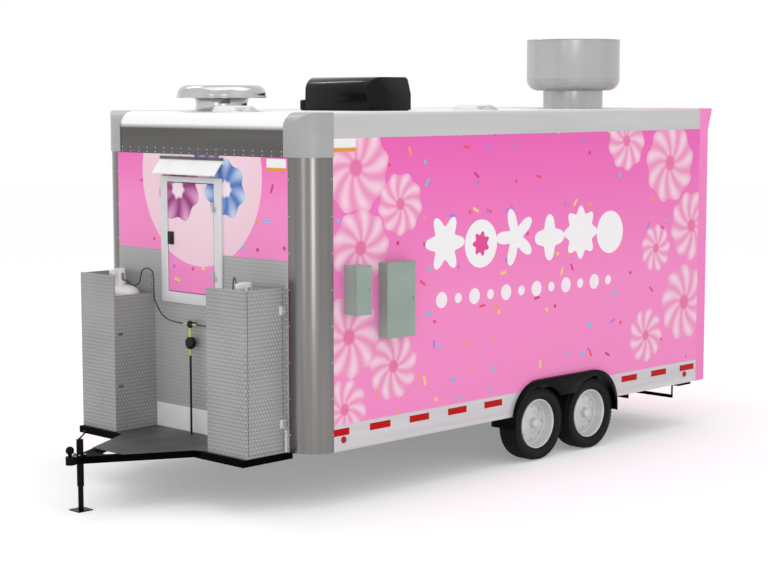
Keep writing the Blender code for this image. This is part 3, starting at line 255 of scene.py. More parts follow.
softbox("overhead_softbox", (0.5, 1.0, 9.0), (0, 0, 0), 9.0, 5.0, 0.9)
softbox("softbox_behind", (0.6, -9.0, 12.0), (0, 0, 3.0), 1.4, 4.0, 9.0)
strip_reach = 14
for name, bearing, width, radiance in (("strip_beside_camera", 53.5, 2.3, 4.5), ("strip_ahead", 19, 1.9, 2.6)):
    turn = math.radians(bearing)
    place = (1.9 + strip_reach * math.cos(turn), 1.2 + strip_reach * math.sin(turn), 2.2)
    softbox(name, place, (1.8, 1.2, 1.8), width, 6.0, radiance)
bpy.context.scene.view_settings.view_transform = "Standard"
bpy.ops.object.select_all(action="DESELECT")

# The chassis is a welded ladder of box and channel, powder-coated black. The
# spring hangers are welded under its rails. Each axle hangs in two leaf packs
# that U-bolts clamp to it.
chassis_black = finish("chassis_black", tone(1), tone(4), (0.38, 0.55), patch=6.0, grain=320.0, specular=0.02)
zinc = finish("zinc", tone(176, 178, 180), tone(150, 151, 152), (0.28, 0.45), metallic=0.9, grain=260.0)


def dress(made_of, *names):
    """Gives carried-over solids their surface."""
    for name in names:
        mesh = nodes[name].data
        mesh.materials.clear()
        mesh.materials.append(made_of)


def pick(piece):
    """Makes a piece the only one that is selected."""
    bpy.ops.object.select_all(action="DESELECT")
    piece.select_set(True)
    bpy.context.view_layer.objects.active = piece


def work(piece, *steps):
    """Runs operators in edit mode, each on the whole piece."""
    pick(piece)
    bpy.ops.object.mode_set(mode="EDIT")
    for operator, settings in steps:
        bpy.ops.mesh.select_all(action="SELECT")
        operator(**settings)
    bpy.ops.object.mode_set(mode="OBJECT")
    return piece


def bar(name, low, high, edge=0.004, steps=2):
    """Squared stock between two corners, with its edges broken."""
    bpy.ops.mesh.primitive_cube_add(size=1, location=[(a + b) / 2 for a, b in zip(low, high)])
    piece = bpy.context.object
    piece.name = name
    piece.scale = [abs(b - a) for a, b in zip(low, high)]
    bpy.ops.object.transform_apply()
    if edge:
        work(piece, (bpy.ops.mesh.bevel, {"offset": edge, "segments": steps, "affect": "EDGES"}))
    return piece


def join(name, pieces):
    """Several finished meshes made one piece."""
    pick(pieces[0])
    for piece in pieces:
        piece.select_set(True)
    if len(pieces) > 1:
        bpy.ops.object.join()
    joined = bpy.context.object
    joined.name = name
    joined.data.name = name
    bpy.ops.object.transform_apply()
    bpy.ops.object.shade_smooth_by_angle(angle=math.radians(35))
    return joined


def spun(name, section, centre, axis="Z", steps=48, start=0.0, sweep=360.0):
    """A closed section of (radius, height) points spun about an axis through a centre."""
    bpy.ops.mesh.primitive_circle_add(vertices=len(section), fill_type="NOTHING")
    piece = bpy.context.object
    piece.name = name
    first = math.radians(start)
    for corner, (radius, height) in zip(piece.data.vertices, section):
        corner.co = (radius * math.cos(first), radius * math.sin(first), height)
    turn = {"steps": steps, "angle": -math.radians(sweep), "center": (0, 0, 0), "axis": (0, 0, 1)}
    closing = [(bpy.ops.mesh.fill_holes, {"sides": 0})] if sweep < 359 else []
    work(piece, (bpy.ops.mesh.spin, turn), (bpy.ops.mesh.remove_doubles, {"threshold": 0.00002}), *closing,
         (bpy.ops.mesh.normals_make_consistent, {"inside": False}))
    piece.rotation_euler = {"Z": (0, 0, 0), "Y": (-math.pi / 2, 0, 0), "X": (0, math.pi / 2, 0)}[axis]
    piece.location = centre
    bpy.ops.object.transform_apply()
    return piece


def rod(name, points, radius, roundness=1):
    """Bent round bar as a mesh, to be joined with others."""
    piece = drawn_tube(name, points, radius, roundness)
    pick(piece)
    bpy.ops.object.convert(target="MESH")
    return piece


def bolt(size, centre, axis="Z"):
    """A hexagon head over its washer, with the edge of the flats rounded off."""
    washer = [(0, 0), (size * 1.1, 0), (size * 1.1, size * 0.16), (0, size * 0.16)]
    head = [(0, size * 0.1), (size * 0.9, size * 0.1), (size * 0.9, size * 0.62), (size * 0.7, size * 0.72),
            (0, size * 0.72)]
    return join("bolt", [spun("washer", washer, centre, axis, 16), spun("head", head, centre, axis, 6)])


dress(chassis_black, "main_frame", "tongue", "front_axle", "rear_axle", "tank_cradle")
axle_places = (-0.7455, -1.4635)
tyre_radius = 0.3164
spring_y = 0.93
u_bolt_side = ((-0.034, 0.075), (-0.034, -0.028), (-0.02, -0.038), (0.02, -0.038), (0.034, -0.028), (0.034, 0.075))
clamps = []
for side in (1, -1):
    for x in axle_places:
        for shift in (-0.045, 0.045):
            loop = [(x + shift, side * spring_y + out, tyre_radius + up) for out, up in u_bolt_side]
            clamps.append(rod("u_bolt", smooth_line(loop, 2), 0.006))
        clamps.append(bar("clamp_plate", (x - 0.07, side * spring_y - 0.05, tyre_radius + 0.06),
                          (x + 0.07, side * spring_y + 0.05, tyre_radius + 0.07), 0.003))
fit(join("spring_clamps", clamps), zinc)

# The A-frame carries a chequered steel deck between the gas cabinets. The
# coupler is a casting bolted over the tube ends, and the drop-leg jack is
# welded through the A-frame's tip.
hitch_x = 3.2435
jack_x = 3.1525
deck_top = 0.426
flange_top = deck_top + 0.0065


def chequer_group():
    """Raised lozenges of rolled chequer plate in staggered rows, on whichever way a face looks."""
    group, given, made = effect("chequer_plate", {"Pitch": 0.03}, ("Lozenge",))
    place = put(group, "TexCoord").outputs
    x, y, z = put(group, "SeparateXYZ", {0: place["Object"]}).outputs
    face_x, _, face_z = put(group, "SeparateXYZ", {0: place["Normal"]}).outputs
    looks_x = calc(group, "GREATER_THAN", calc(group, "ABSOLUTE", face_x), 0.6)
    looks_z = calc(group, "GREATER_THAN", calc(group, "ABSOLUTE", face_z), 0.6)
    across = calc(group, "ADD", calc(group, "MULTIPLY", looks_x, calc(group, "SUBTRACT", y, x)), x)
    up = calc(group, "ADD", calc(group, "MULTIPLY", looks_z, calc(group, "SUBTRACT", y, z)), z)
    across = calc(group, "DIVIDE", across, given["Pitch"])
    up = calc(group, "DIVIDE", up, given["Pitch"])
    row = calc(group, "FLOOR", up)
    odd = calc(group, "MODULO", calc(group, "ABSOLUTE", row), 2.0)
    across = calc(group, "ADD", across, calc(group, "MULTIPLY", odd, 0.5))
    part_u = calc(group, "SUBTRACT", calc(group, "SUBTRACT", across, calc(group, "FLOOR", across)), 0.5)
    part_v = calc(group, "SUBTRACT", calc(group, "SUBTRACT", up, row), 0.5)
    along = calc(group, "DIVIDE", calc(group, "ADD", part_u, part_v), 0.6)
    beside = calc(group, "DIVIDE", calc(group, "SUBTRACT", part_u, part_v), 0.17)
    far = calc(group, "ADD", calc(group, "MULTIPLY", along, along), calc(group, "MULTIPLY", beside, beside))
    group.links.new(scaled(group, far, 0.1, 1.0, 1.0, 0.0), made["Lozenge"])
    return group


chequer = chequer_group()


def chequer_plate(name, colour, worn, raised, gloss, metallic, pitch, depth):
    """Rolled plate whose lozenges stand up and are coloured lighter than the plate between them."""
    made_of = finish(name, colour, worn, gloss, metallic, patch=2.0, grain=260.0, bump=0.0002)
    tree = made_of.node_tree
    shader = tree.nodes["Principled BSDF"].inputs
    lozenge = put(tree, "Group", {"Pitch": pitch}, node_tree=chequer).outputs["Lozenge"]
    below = shader["Base Color"].links[0].from_socket
    tree.links.new(mixed(tree, lozenge, below, raised), shader["Base Color"])
    fine = shader["Normal"].links[0].from_socket
    relief = put(tree, "Bump", {"Height": lozenge, "Distance": depth, "Strength": 1.0, "Normal": fine})
    tree.links.new(relief.outputs[0], shader["Normal"])
    return made_of


deck_plate = chequer_plate("deck_plate", tone(84, 84, 86), tone(70, 70, 72), tone(112, 112, 114), (0.4, 0.6), 0.2,
                           0.032, 0.0015)
dress(deck_plate, "tongue_deck")

coupler_black = finish("coupler_black", tone(1), tone(5), (0.25, 0.4), patch=20.0, grain=420.0, specular=0.08)
dress(coupler_black, "coupler", "jack_tube", "jack_leg")
fittings = [bolt(0.009, (jack_x + x, y, flange_top)) for x in (-0.027, 0.027) for y in (-0.027, 0.027)]
fittings += [bolt(0.01, (hitch_x - 0.03, side * 0.024, ride_height + 0.008)) for side in (1, -1)]
lever = [(hitch_x - 0.055, 0, 0.432), (hitch_x - 0.04, 0, 0.449), (hitch_x - 0.01, 0, 0.452)]
fittings.append(rod("latch", smooth_line(lever, 4), 0.005))
fit(join("hitch_fittings", fittings), zinc)

# The wheels are pressed steel with a stepped dish, eight vents and a raised
# cap, painted silver. The tyres are trailer radials with a plain side wall and
# a blocked tread.
wheel_outer = 1.3076
tread_blocks = 60
tread_half_turn = math.radians(360 / tread_blocks * 0.42)
block_depth = 0.012
vent_count = 8
vent_circle = 0.137
nut_count = 5
nut_circle = 0.062
silver_paint = finish("silver_paint", tone(214, 215, 216), tone(206, 207, 208), (0.3, 0.4), metallic=0.3, patch=6.0,
                      grain=300.0, bump=0.00004)
tyre_black = finish("tyre_black", tone(28), tone(36, 35, 35), (0.62, 0.78), patch=9.0, grain=420.0, bump=0.0008,
                    specular=0.12)
tyre_middle = 0.1025
tyre_side = ((0.3095, 0.049), (0.3065, 0.029), (0.301, 0.0165), (0.288, 0.005), (0.27, 0.0005), (0.25, 0.004),
             (0.2285, 0.02), (0.216, 0.039))
tyre_section = [(radius, 2 * tyre_middle - depth) for radius, depth in reversed(tyre_side)]
tyre_section += [(0.31, tyre_middle), *tyre_side, (0.216, tyre_middle)]
block_rows = ((0.0215, 0.029, 0.3078), (0.06, 0.033, tyre_radius), (tyre_middle, 0.033, tyre_radius),
              (0.145, 0.033, tyre_radius), (0.1835, 0.029, 0.3078))
rim_section = (
    (0.0, 0.125), (0.18, 0.125), (0.196, 0.135), (0.199, 0.17), (0.215, 0.1824), (0.2152, 0.023), (0.212, 0.0205),
    (0.206, 0.0215), (0.203, 0.026), (0.199, 0.036), (0.196, 0.05), (0.193, 0.085), (0.188, 0.101), (0.18, 0.106),
    (0.17, 0.105), (0.16, 0.099), (0.145, 0.096), (0.125, 0.096), (0.105, 0.095), (0.09, 0.09), (0.08, 0.084),
    (0.07, 0.082), (0.056, 0.0815), (0.048, 0.079), (0.044, 0.07), (0.042, 0.06), (0.04, 0.045), (0.035, 0.039),
    (0.019, 0.037), (0.0, 0.0365),
)
centre = (axle_places[0], 0, tyre_radius)


def out_to(section):
    """A section of (radius, depth) points, its depths measured in from the wheel's outer face."""
    return [(radius, wheel_outer - depth) for radius, depth in section]


def around_wheel(piece, count):
    """Repeats a piece evenly round the first wheel's axle."""
    turn = {"steps": count - 1, "dupli": True, "angle": math.tau * (count - 1) / count, "center": centre,
            "axis": (0, 1, 0)}
    return work(piece, (bpy.ops.mesh.spin, turn))


def round_tool(sides, radius, length, place):
    """A cylinder that lies across the trailer, to cut with."""
    bpy.ops.mesh.primitive_cylinder_add(vertices=sides, radius=radius, depth=length, location=place,
                                        rotation=(math.pi / 2, 0, 0))
    bpy.ops.object.transform_apply()
    return bpy.context.object


def shaped(piece, kind, **settings):
    """Applies one modifier to a piece."""
    step = piece.modifiers.new("step", kind)
    for key, value in settings.items():
        setattr(step, key, value)
    pick(piece)
    bpy.ops.object.modifier_apply(modifier="step")
    return piece


def cut_with(piece, *tools, way="DIFFERENCE"):
    """Takes each tool's shape out of a piece, or keeps only what they share, and throws the tool away."""
    for tool in tools:
        shaped(piece, "BOOLEAN", operation=way, object=tool)
        bpy.data.objects.remove(tool)
    return piece


pieces = [spun("carcass", out_to(tyre_section), centre, "Y", 60)]
for depth, width, top in block_rows:
    half = top * math.sin(tread_half_turn)
    low = (centre[0] - half, wheel_outer - depth - width / 2, tyre_radius + top - block_depth)
    high = (centre[0] + half, wheel_outer - depth + width / 2, tyre_radius + top)
    pieces.append(around_wheel(bar("block", low, high, 0), tread_blocks))
tyre = join("tyre", pieces)
rim = spun("rim", out_to(rim_section), centre, "Y", 64)
drill = round_tool(20, 0.008, 0.12, (centre[0], wheel_outer - 0.11, tyre_radius + vent_circle))
cut_with(rim, around_wheel(drill, vent_count))
nut = bolt(0.0085, (centre[0], wheel_outer - 0.0825, tyre_radius + nut_circle), "Y")
rim = join("rim", [rim, around_wheel(nut, nut_count)])
for row_name, axle_x in zip(("front", "rear"), axle_places):
    for side, side_name in both_sides:
        label = row_name + "_" + side_name
        shift = (axle_x - side * centre[0], 0, 0)
        for piece, made_of, kind, slot in ((tyre, tyre_black, "tyre", "tyre_rubber"),
                                           (rim, silver_paint, "rim", "rim_metal")):
            pick(piece)
            bpy.ops.object.duplicate(linked=False)
            placed = bpy.context.object
            placed.name = placed.data.name = label + "_" + kind
            placed.rotation_euler = (0, 0, 0 if side > 0 else math.pi)
            placed.location = shift
            bpy.ops.object.transform_apply()
            fit(placed, made_of, "wheel_" + label)
            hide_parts(kind + "_" + label)
bpy.data.objects.remove(tyre)
bpy.data.objects.remove(rim)

# Each pair of wheels runs under one tandem fender, a band of sheet steel rolled
# round both tyres with a pressed face welded to its outer edge, painted black
# and left glossy.
fender_black = finish("fender_black", tone(2), tone(6), (0.14, 0.24), patch=4.0, grain=300.0, bump=0.0001,
                      specular=0.08)
well_mid = sum(axle_places) / 2
fender_half = 0.715
fender_low = 0.308
fender_top = 0.709
fender_curve = 0.34
fender_sheet = 0.008
fender_inner = 1.06
fender_outer = 1.334
eye_radius = 0.338


def arc(centre_u, centre_v, radius, start, end, steps):
    """Points along a round stretch of an outline, angles in degrees."""
    turns = [math.radians(start + (end - start) * index / steps) for index in range(steps + 1)]
    return [(centre_u + radius * math.cos(turn), centre_v + radius * math.sin(turn)) for turn in turns]


def arch(inset, drop=0.0):
    """Side view of the fender band, drawn in from its outer edge."""
    half = fender_half - inset
    radius = fender_curve - inset
    rise = fender_top - inset - radius
    low = fender_low - drop
    return [(well_mid + half, low), *arc(well_mid + half - radius, rise, radius, 0, 90, 18),
            *arc(well_mid - half + radius, rise, radius, 90, 180, 18), (well_mid - half, low)]


def blank(name, outline, axis, low, high):
    """Sheet or bar of a given outline, pulled to its thickness along an axis."""
    bpy.ops.mesh.primitive_circle_add(vertices=len(outline), fill_type="NGON")
    piece = bpy.context.object
    piece.name = name
    across = "XYZ".index(axis)
    for corner, (u, v) in zip(piece.data.vertices, outline):
        place = [u, v]
        place.insert(across, low)
        corner.co = place
    pull = [0, 0, 0]
    pull[across] = high - low
    return work(piece, (bpy.ops.mesh.extrude_region_move, {"TRANSFORM_OT_translate": {"value": pull}}),
                (bpy.ops.mesh.normals_make_consistent, {"inside": False}))


def round_edges(piece, width, steps=2, angle=30):
    """Breaks every edge sharper than an angle."""
    return shaped(piece, "BEVEL", width=width, segments=steps, limit_method="ANGLE", angle_limit=math.radians(angle))


for side, label in both_sides:
    outer = side * fender_outer
    inner = side * fender_inner
    band = blank("fender_band", arch(0), "Y", *sorted((inner, outer)))
    hollow = blank("hollow", arch(fender_sheet, 0.05), "Y", *sorted((inner - side * 0.02, outer - side * fender_sheet)))
    eyes = [round_tool(96, eye_radius, 0.06, (axle_x, outer, tyre_radius)) for axle_x in axle_places]
    under = bar("under", (axle_places[1], outer - 0.03, 0.2), (axle_places[0], outer + 0.03, 0.54), 0)
    cut_with(band, hollow, *eyes, under)
    round_edges(band, 0.0025)
    fender = fit(join(label + "_tandem_fender", [band]), fender_black)
    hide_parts(label + "_fender")

# The body is clad in flat aluminium sheet under a printed vinyl wrap: a pink
# ground that deepens towards the roof, scattered with sprinkles, with sugar
# rosettes at the ends and a row of plain white shapes along the middle.
wrap_pink = tone(250, 141, 203)
wrap_deep = tone(241, 97, 186)


def disc_group():
    """A disc with a lobed edge: where it is, how far out a point lies, and the run of its lobes."""
    group, given, made = effect(
        "lobed_disc",
        {"Place": (0, 0, 0), "Centre": (0, 0, 0), "Radius": 0.3, "Lobes": 8.0, "Depth": 0.1, "Swirl": 0.0},
        ("Inside", "Out", "Lobe"),
    )
    away = put(group, "VectorMath", {0: given["Place"], 1: given["Centre"]}, operation="SUBTRACT").outputs[0]
    u, v, _ = put(group, "SeparateXYZ", {0: away}).outputs
    span = put(group, "VectorMath", {0: away}, operation="LENGTH").outputs["Value"]
    part = calc(group, "DIVIDE", span, given["Radius"])
    turn = calc(group, "MULTIPLY", calc(group, "ARCTAN2", v, u), given["Lobes"])
    wave = calc(group, "COSINE", calc(group, "ADD", turn, calc(group, "MULTIPLY", part, given["Swirl"])))
    dip = calc(group, "MULTIPLY", calc(group, "SUBTRACT", 1.0, wave), calc(group, "MULTIPLY", given["Depth"], 0.5))
    rim = calc(group, "MULTIPLY", given["Radius"], calc(group, "SUBTRACT", 1.0, dip))
    inside = scaled(group, calc(group, "SUBTRACT", rim, span), -0.002, 0.002)
    group.links.new(inside, made["Inside"])
    group.links.new(calc(group, "DIVIDE", span, rim), made["Out"])
    group.links.new(scaled(group, wave, -1.0, 1.0), made["Lobe"])
    return group


def sprinkle_group():
    """Short rods or round dots strewn over a surface, each turned its own way."""
    group, given, made = effect(
        "sprinkles",
        {"Place": (0, 0, 0), "Scale": 4.0, "Share": 0.4, "Half Length": 0.1, "Half Width": 0.05},
        ("Mask", "Pick"),
    )
    place = put(group, "VectorMath", {0: given["Place"], "Scale": given["Scale"]}, operation="SCALE").outputs[0]
    cells = put(group, "TexVoronoi", {"Vector": place, "Scale": 1.0, "Randomness": 0.75}, voronoi_dimensions="2D")
    chance = put(group, "SeparateColor", {0: cells.outputs["Color"]}).outputs
    away = put(group, "VectorMath", {0: place, 1: cells.outputs["Position"]}, operation="SUBTRACT").outputs[0]
    turn = {"Vector": away, "Angle": calc(group, "MULTIPLY", chance[0], math.tau)}
    turned = put(group, "VectorRotate", turn, rotation_type="Z_AXIS").outputs[0]
    u, v, _ = put(group, "SeparateXYZ", {0: turned}).outputs
    beyond = calc(group, "SUBTRACT", calc(group, "ABSOLUTE", u), given["Half Length"])
    beyond = calc(group, "MAXIMUM", beyond, 0.0)
    square = calc(group, "ADD", calc(group, "MULTIPLY", beyond, beyond), calc(group, "MULTIPLY", v, v))
    inward = calc(group, "SUBTRACT", given["Half Width"], calc(group, "SQRT", square))
    edge = scaled(group, inward, -0.006, 0.006)
    kept = calc(group, "LESS_THAN", chance[1], given["Share"])
    group.links.new(calc(group, "MULTIPLY", edge, kept), made["Mask"])
    group.links.new(chance[2], made["Pick"])
    return group


lobed_disc = disc_group()
sprinkles = sprinkle_group()
sprinkle_colours = (tone(96, 200, 240), tone(250, 216, 96), tone(248, 158, 84), tone(214, 44, 136),
                    tone(240, 74, 112), tone(168, 132, 222))


def lobed(tree, place, centre, radius, lobes, depth, swirl=0.0):
    """One lobed disc in a material."""
    sockets = {"Place": place, "Centre": (*centre, 0.0), "Radius": radius, "Lobes": lobes, "Depth": depth,
               "Swirl": swirl}
    return put(tree, "Group", sockets, node_tree=lobed_disc).outputs


def strewn(tree, place, under, scale, share, half_length, half_width):
    """Sprinkles laid over a colour."""
    sockets = {"Place": place, "Scale": scale, "Share": share, "Half Length": half_length, "Half Width": half_width}
    strew = put(tree, "Group", sockets, node_tree=sprinkles).outputs
    ramp = put(tree, "ValToRGB", {"Fac": strew["Pick"]})
    stops = ramp.color_ramp
    stops.interpolation = "CONSTANT"
    for index, colour in enumerate(sprinkle_colours):
        stop = stops.elements[index] if index < 2 else stops.elements.new(0.5)
        stop.color = colour
    for index, stop in enumerate(stops.elements):
        stop.position = index / len(sprinkle_colours)
    return mixed(tree, strew["Mask"], under, ramp.outputs["Color"])


def rosette(tree, place, under, centre, radius, swirl):
    """A piped sugar rosette, pale on its ridges and deeper in its grooves."""
    disc = lobed(tree, place, centre, radius, 9.0, 0.1, swirl)
    ridge = calc(tree, "MULTIPLY", disc["Lobe"], scaled(tree, disc["Out"], 0.0, 1.0, 0.35, 1.0))
    ridge = calc(tree, "MULTIPLY", ridge, scaled(tree, disc["Out"], 0.82, 1.0, 1.0, 0.35))
    body = mixed(tree, ridge, tone(243, 150, 196), tone(252, 222, 236))
    heart = scaled(tree, disc["Out"], 0.16, 0.24, 0.75, 0.0)
    return mixed(tree, disc["Inside"], under, mixed(tree, heart, body, tone(233, 96, 158)))


def wrap(name, runs, lining, proud, deepens, motifs):
    """Printed vinyl on flat sheet: sprinkles and motifs over a pink ground, under a clear film.

    The ground deepens from a height upwards. The sheet is lined with plain white inside, and the
    hinge barrels that stand proud are bare metal.
    """
    made_of = finish(name, wrap_pink, wrap_pink, (0.3, 0.38), patch=1.5, grain=90.0, bump=0.0003, specular=0.35)
    tree = made_of.node_tree
    x, y, z = put(tree, "SeparateXYZ", {0: put(tree, "TexCoord").outputs["Object"]}).outputs
    along, out = (x, y) if runs == "X" else (y, x)
    place = put(tree, "CombineXYZ", {0: along, 1: z}).outputs[0]
    out = calc(tree, "ABSOLUTE", out)
    ground = mixed(tree, scaled(tree, z, deepens, 2.85), wrap_pink, wrap_deep)
    ground = strewn(tree, place, ground, 3.7, 0.34, 0.1, 0.042)
    ground = strewn(tree, place, ground, 4.6, 0.26, 0.0, 0.078)
    colour = motifs(tree, place, ground)
    colour = mixed(tree, calc(tree, "GREATER_THAN", out, lining), tone(226, 227, 227), colour)
    colour = mixed(tree, calc(tree, "GREATER_THAN", out, proud), colour, tone(186, 187, 188))
    tree.links.new(colour, tree.nodes["Principled BSDF"].inputs["Base Color"])
    return made_of


side_rosettes = (
    ((1.47, 2.6), 0.36, 5.0), ((0.98, 2.3), 0.25, -5.0), ((1.42, 1.98), 0.31, 4.0), ((1.55, 1.3), 0.33, -4.0),
    ((1.06, 1.02), 0.27, 5.0), ((1.6, 0.74), 0.24, -5.0), ((-1.95, 2.74), 0.27, -4.0), ((-2.62, 2.52), 0.37, 5.0),
    ((-2.98, 1.92), 0.33, -5.0), ((-2.42, 1.74), 0.22, 4.0), ((-2.88, 1.2), 0.36, 5.0), ((-2.28, 0.94), 0.25, -4.0),
)
plain_shapes = (
    ((0.46, 1.96), 0.235, 6.0, 0.42), ((0.02, 1.93), 0.2, 1.0, 0.0), ((-0.42, 1.96), 0.25, 5.0, 0.62),
    ((-0.87, 1.93), 0.2, 4.0, 0.45), ((-1.3, 1.95), 0.235, 8.0, 0.26), ((-1.72, 1.93), 0.19, 1.0, 0.0),
)
front_rings = (
    ((-0.24, 2.4), 0.27, tone(150, 44, 126), tone(232, 160, 206)),
    ((0.33, 2.42), 0.24, tone(76, 120, 196), tone(196, 214, 240)),
    ((0.1, 2.78), 0.22, tone(116, 78, 176), tone(220, 190, 232)),
)


def side_motifs(tree, place, ground):
    """Rosettes at both ends, and a row of plain white shapes over a row of dots."""
    for centre, radius, swirl in side_rosettes:
        ground = rosette(tree, place, ground, centre, radius, swirl)
    for centre, radius, lobes, depth in plain_shapes:
        shape = lobed(tree, place, centre, radius, lobes, depth)
        ground = mixed(tree, shape["Inside"], ground, tone(250, 248, 249))
    heart = lobed(tree, place, plain_shapes[1][0], 0.105, 7.0, 0.3)
    ground = mixed(tree, heart["Inside"], ground, tone(233, 70, 150))
    for index in range(12):
        dot = lobed(tree, place, (0.5 - 0.2 * index, 1.5), 0.042 if index % 2 else 0.066, 4.0, 0.0)
        ground = mixed(tree, dot["Inside"], ground, tone(250, 240, 246))
    return ground


def front_motifs(tree, place, ground):
    """A broad pale disc that carries three iced rings, violet and blue."""
    plate = lobed(tree, place, (0.02, 2.53), 0.74, 1.0, 0.0)
    pale = mixed(tree, plate["Out"], tone(250, 226, 236), tone(246, 208, 222))
    ground = mixed(tree, plate["Inside"], ground, pale)
    for centre, radius, first, second in front_rings:
        bloom = lobed(tree, place, centre, radius, 7.0, 0.16, 2.0)
        swirl = calc(tree, "MULTIPLY", bloom["Lobe"], scaled(tree, bloom["Out"], 0.3, 0.9, 0.2, 1.0))
        hole = scaled(tree, bloom["Out"], 0.24, 0.34, 1.0, 0.0)
        body = mixed(tree, hole, mixed(tree, swirl, first, second), tone(252, 232, 240))
        ground = mixed(tree, bloom["Inside"], ground, body)
    return ground


side_wrap = wrap("side_wrap", "X", 1.27, 1.2956, 1.5, side_motifs)
front_wrap = wrap("front_wrap", "Y", 1.93, 1.9742, 2.3, front_motifs)
rear_wrap = wrap("rear_wrap", "Y", 3.17, 3.195, 2.3, lambda tree, place, ground: ground)
dress(side_wrap, "left_wall", "right_wall", "serving_awning")
dress(front_wrap, "front_wall", "hatch_door")
dress(rear_wrap, "rear_wall", "rear_door")

# Satin aluminium skirts close the sides below the walls. They are riveted on
# in rows, and carry dashes of red reflective tape and red marker lamps.
skirt_metal = finish("skirt_metal", tone(213, 211, 213), tone(203, 201, 204), (0.34, 0.46), metallic=0.25,
                     stretch=(0.3, 0.3, 6.0), patch=2.0, grain=160.0, bump=0.0002)
rivet_bright = finish("rivet_bright", tone(226), tone(206), (0.25, 0.4), metallic=0.4)
tape_red = finish("tape_red", tone(200, 4, 6), tone(184, 2, 4), (0.34, 0.46), patch=300.0, grain=900.0,
                  bump=0.00003, specular=0.12)
lens_red = finish("lens_red", tone(188, 10, 12), tone(150, 4, 6), (0.12, 0.2), patch=90.0, grain=160.0, bump=0.0006,
                  specular=0.3)
dress(skirt_metal, "left_skirt_front", "left_skirt_rear", "right_skirt_front", "right_skirt_rear")
half_width = 1.295


def rivet_row(start, step, count, axis, size=0.0045):
    """A row of domed rivets, modelled once and repeated by an array."""
    bpy.ops.mesh.primitive_uv_sphere_add(segments=8, ring_count=4, radius=size, location=start)
    row = bpy.context.object
    row.scale = [0.5 if letter == axis else 1.0 for letter in "XYZ"]
    bpy.ops.object.transform_apply()
    return shaped(row, "ARRAY", count=count, use_relative_offset=False, use_constant_offset=True,
                  constant_offset_displace=step)


def lamp_lens(place, axis, radius=0.022, deep=0.014):
    """A domed marker lens on its bezel."""
    way = -deep if place["XY".index(axis)] < 0 else deep
    section = [(0, 0), (radius * 1.2, 0), (radius * 1.2, way * 0.3), (radius, way * 0.45), (radius * 0.9, way * 0.8),
               (radius * 0.5, way), (0, way * 1.05)]
    return spun("lens", section, place, axis, 24)


tape_spans = ((-0.24, -0.406), (-0.631, -0.862), (-1.081, -1.309), (-1.536, -1.763), (-1.985, -2.212),
              (-3.877, -4.11), (-4.331, -4.564), (-4.785, -5.01))
tapes = []
rivets = []
lenses = []
for side in (1, -1):
    face = side * half_width
    low, high = sorted((face + side * 0.0001, face + side * 0.0012))
    tapes += [bar("tape", (nose + back, low, 0.5415), (nose + front, high, 0.5965), 0.0005, 1)
              for front, back in tape_spans]
    lenses += [lamp_lens((nose + along, face, 0.507), "Y") for along in (-0.345, -4.86)]
    for front, step, count in ((1.68, -0.152, 12), (-1.9, -0.146, 9)):
        rivets += [rivet_row((front, face, height), (step, 0, 0), count, "Y") for height in (0.611, 0.437)]
fit(join("skirt_tape", tapes), tape_red)
fit(join("side_marker_lenses", lenses), lens_red)
fit(join("skirt_rivets", rivets), rivet_bright)

# The front corners are quarter-round posts rolled from polished aluminium. A
# rolled header closes the roof's front edge, and two painted caps and two
# fascia rails finish the roof line.
post_metal = finish("post_metal", tone(130, 128, 126), tone(118, 116, 114), (0.22, 0.28), metallic=0.95,
                    stretch=(6, 6, 0.15), patch=3.0, grain=60.0, bump=0.00003)
cap_grey = finish("cap_grey", tone(170), tone(160), (0.35, 0.45), patch=2.5, grain=240.0)
fascia_grey = finish("fascia_grey", tone(204), tone(196), (0.34, 0.44), metallic=0.15, stretch=(0.3, 3, 3),
                     patch=2.0, grain=200.0)
header_metal = finish("header_metal", tone(99, 97, 95), tone(88, 86, 84), (0.2, 0.28), metallic=0.7,
                      stretch=(6, 0.2, 6), patch=2.0, grain=140.0, bump=0.0001)
# Painted reflection: the rolled top of the header is coloured near-white above the grey band, standing in for the
# bright sky it reflects.
tree = header_metal.node_tree
base = tree.nodes["Principled BSDF"].inputs["Base Color"]
height = put(tree, "SeparateXYZ", {0: put(tree, "TexCoord").outputs["Object"]}).outputs["Z"]
roll_painted_reflection = scaled(tree, height, 2.885, 2.925)
tree.links.new(mixed(tree, roll_painted_reflection, base.links[0].from_socket, tone(250, 250, 249)), base)
roof_edge = 3.021
roof_roll = 0.12
header_low = 2.68
flat_half = 1.052
post_radius = half_width - flat_half
post_top = 2.6845
cap_proud = 0.008
cap_rise = 0.002
cap_reach = 1.012
cap_low = 2.685

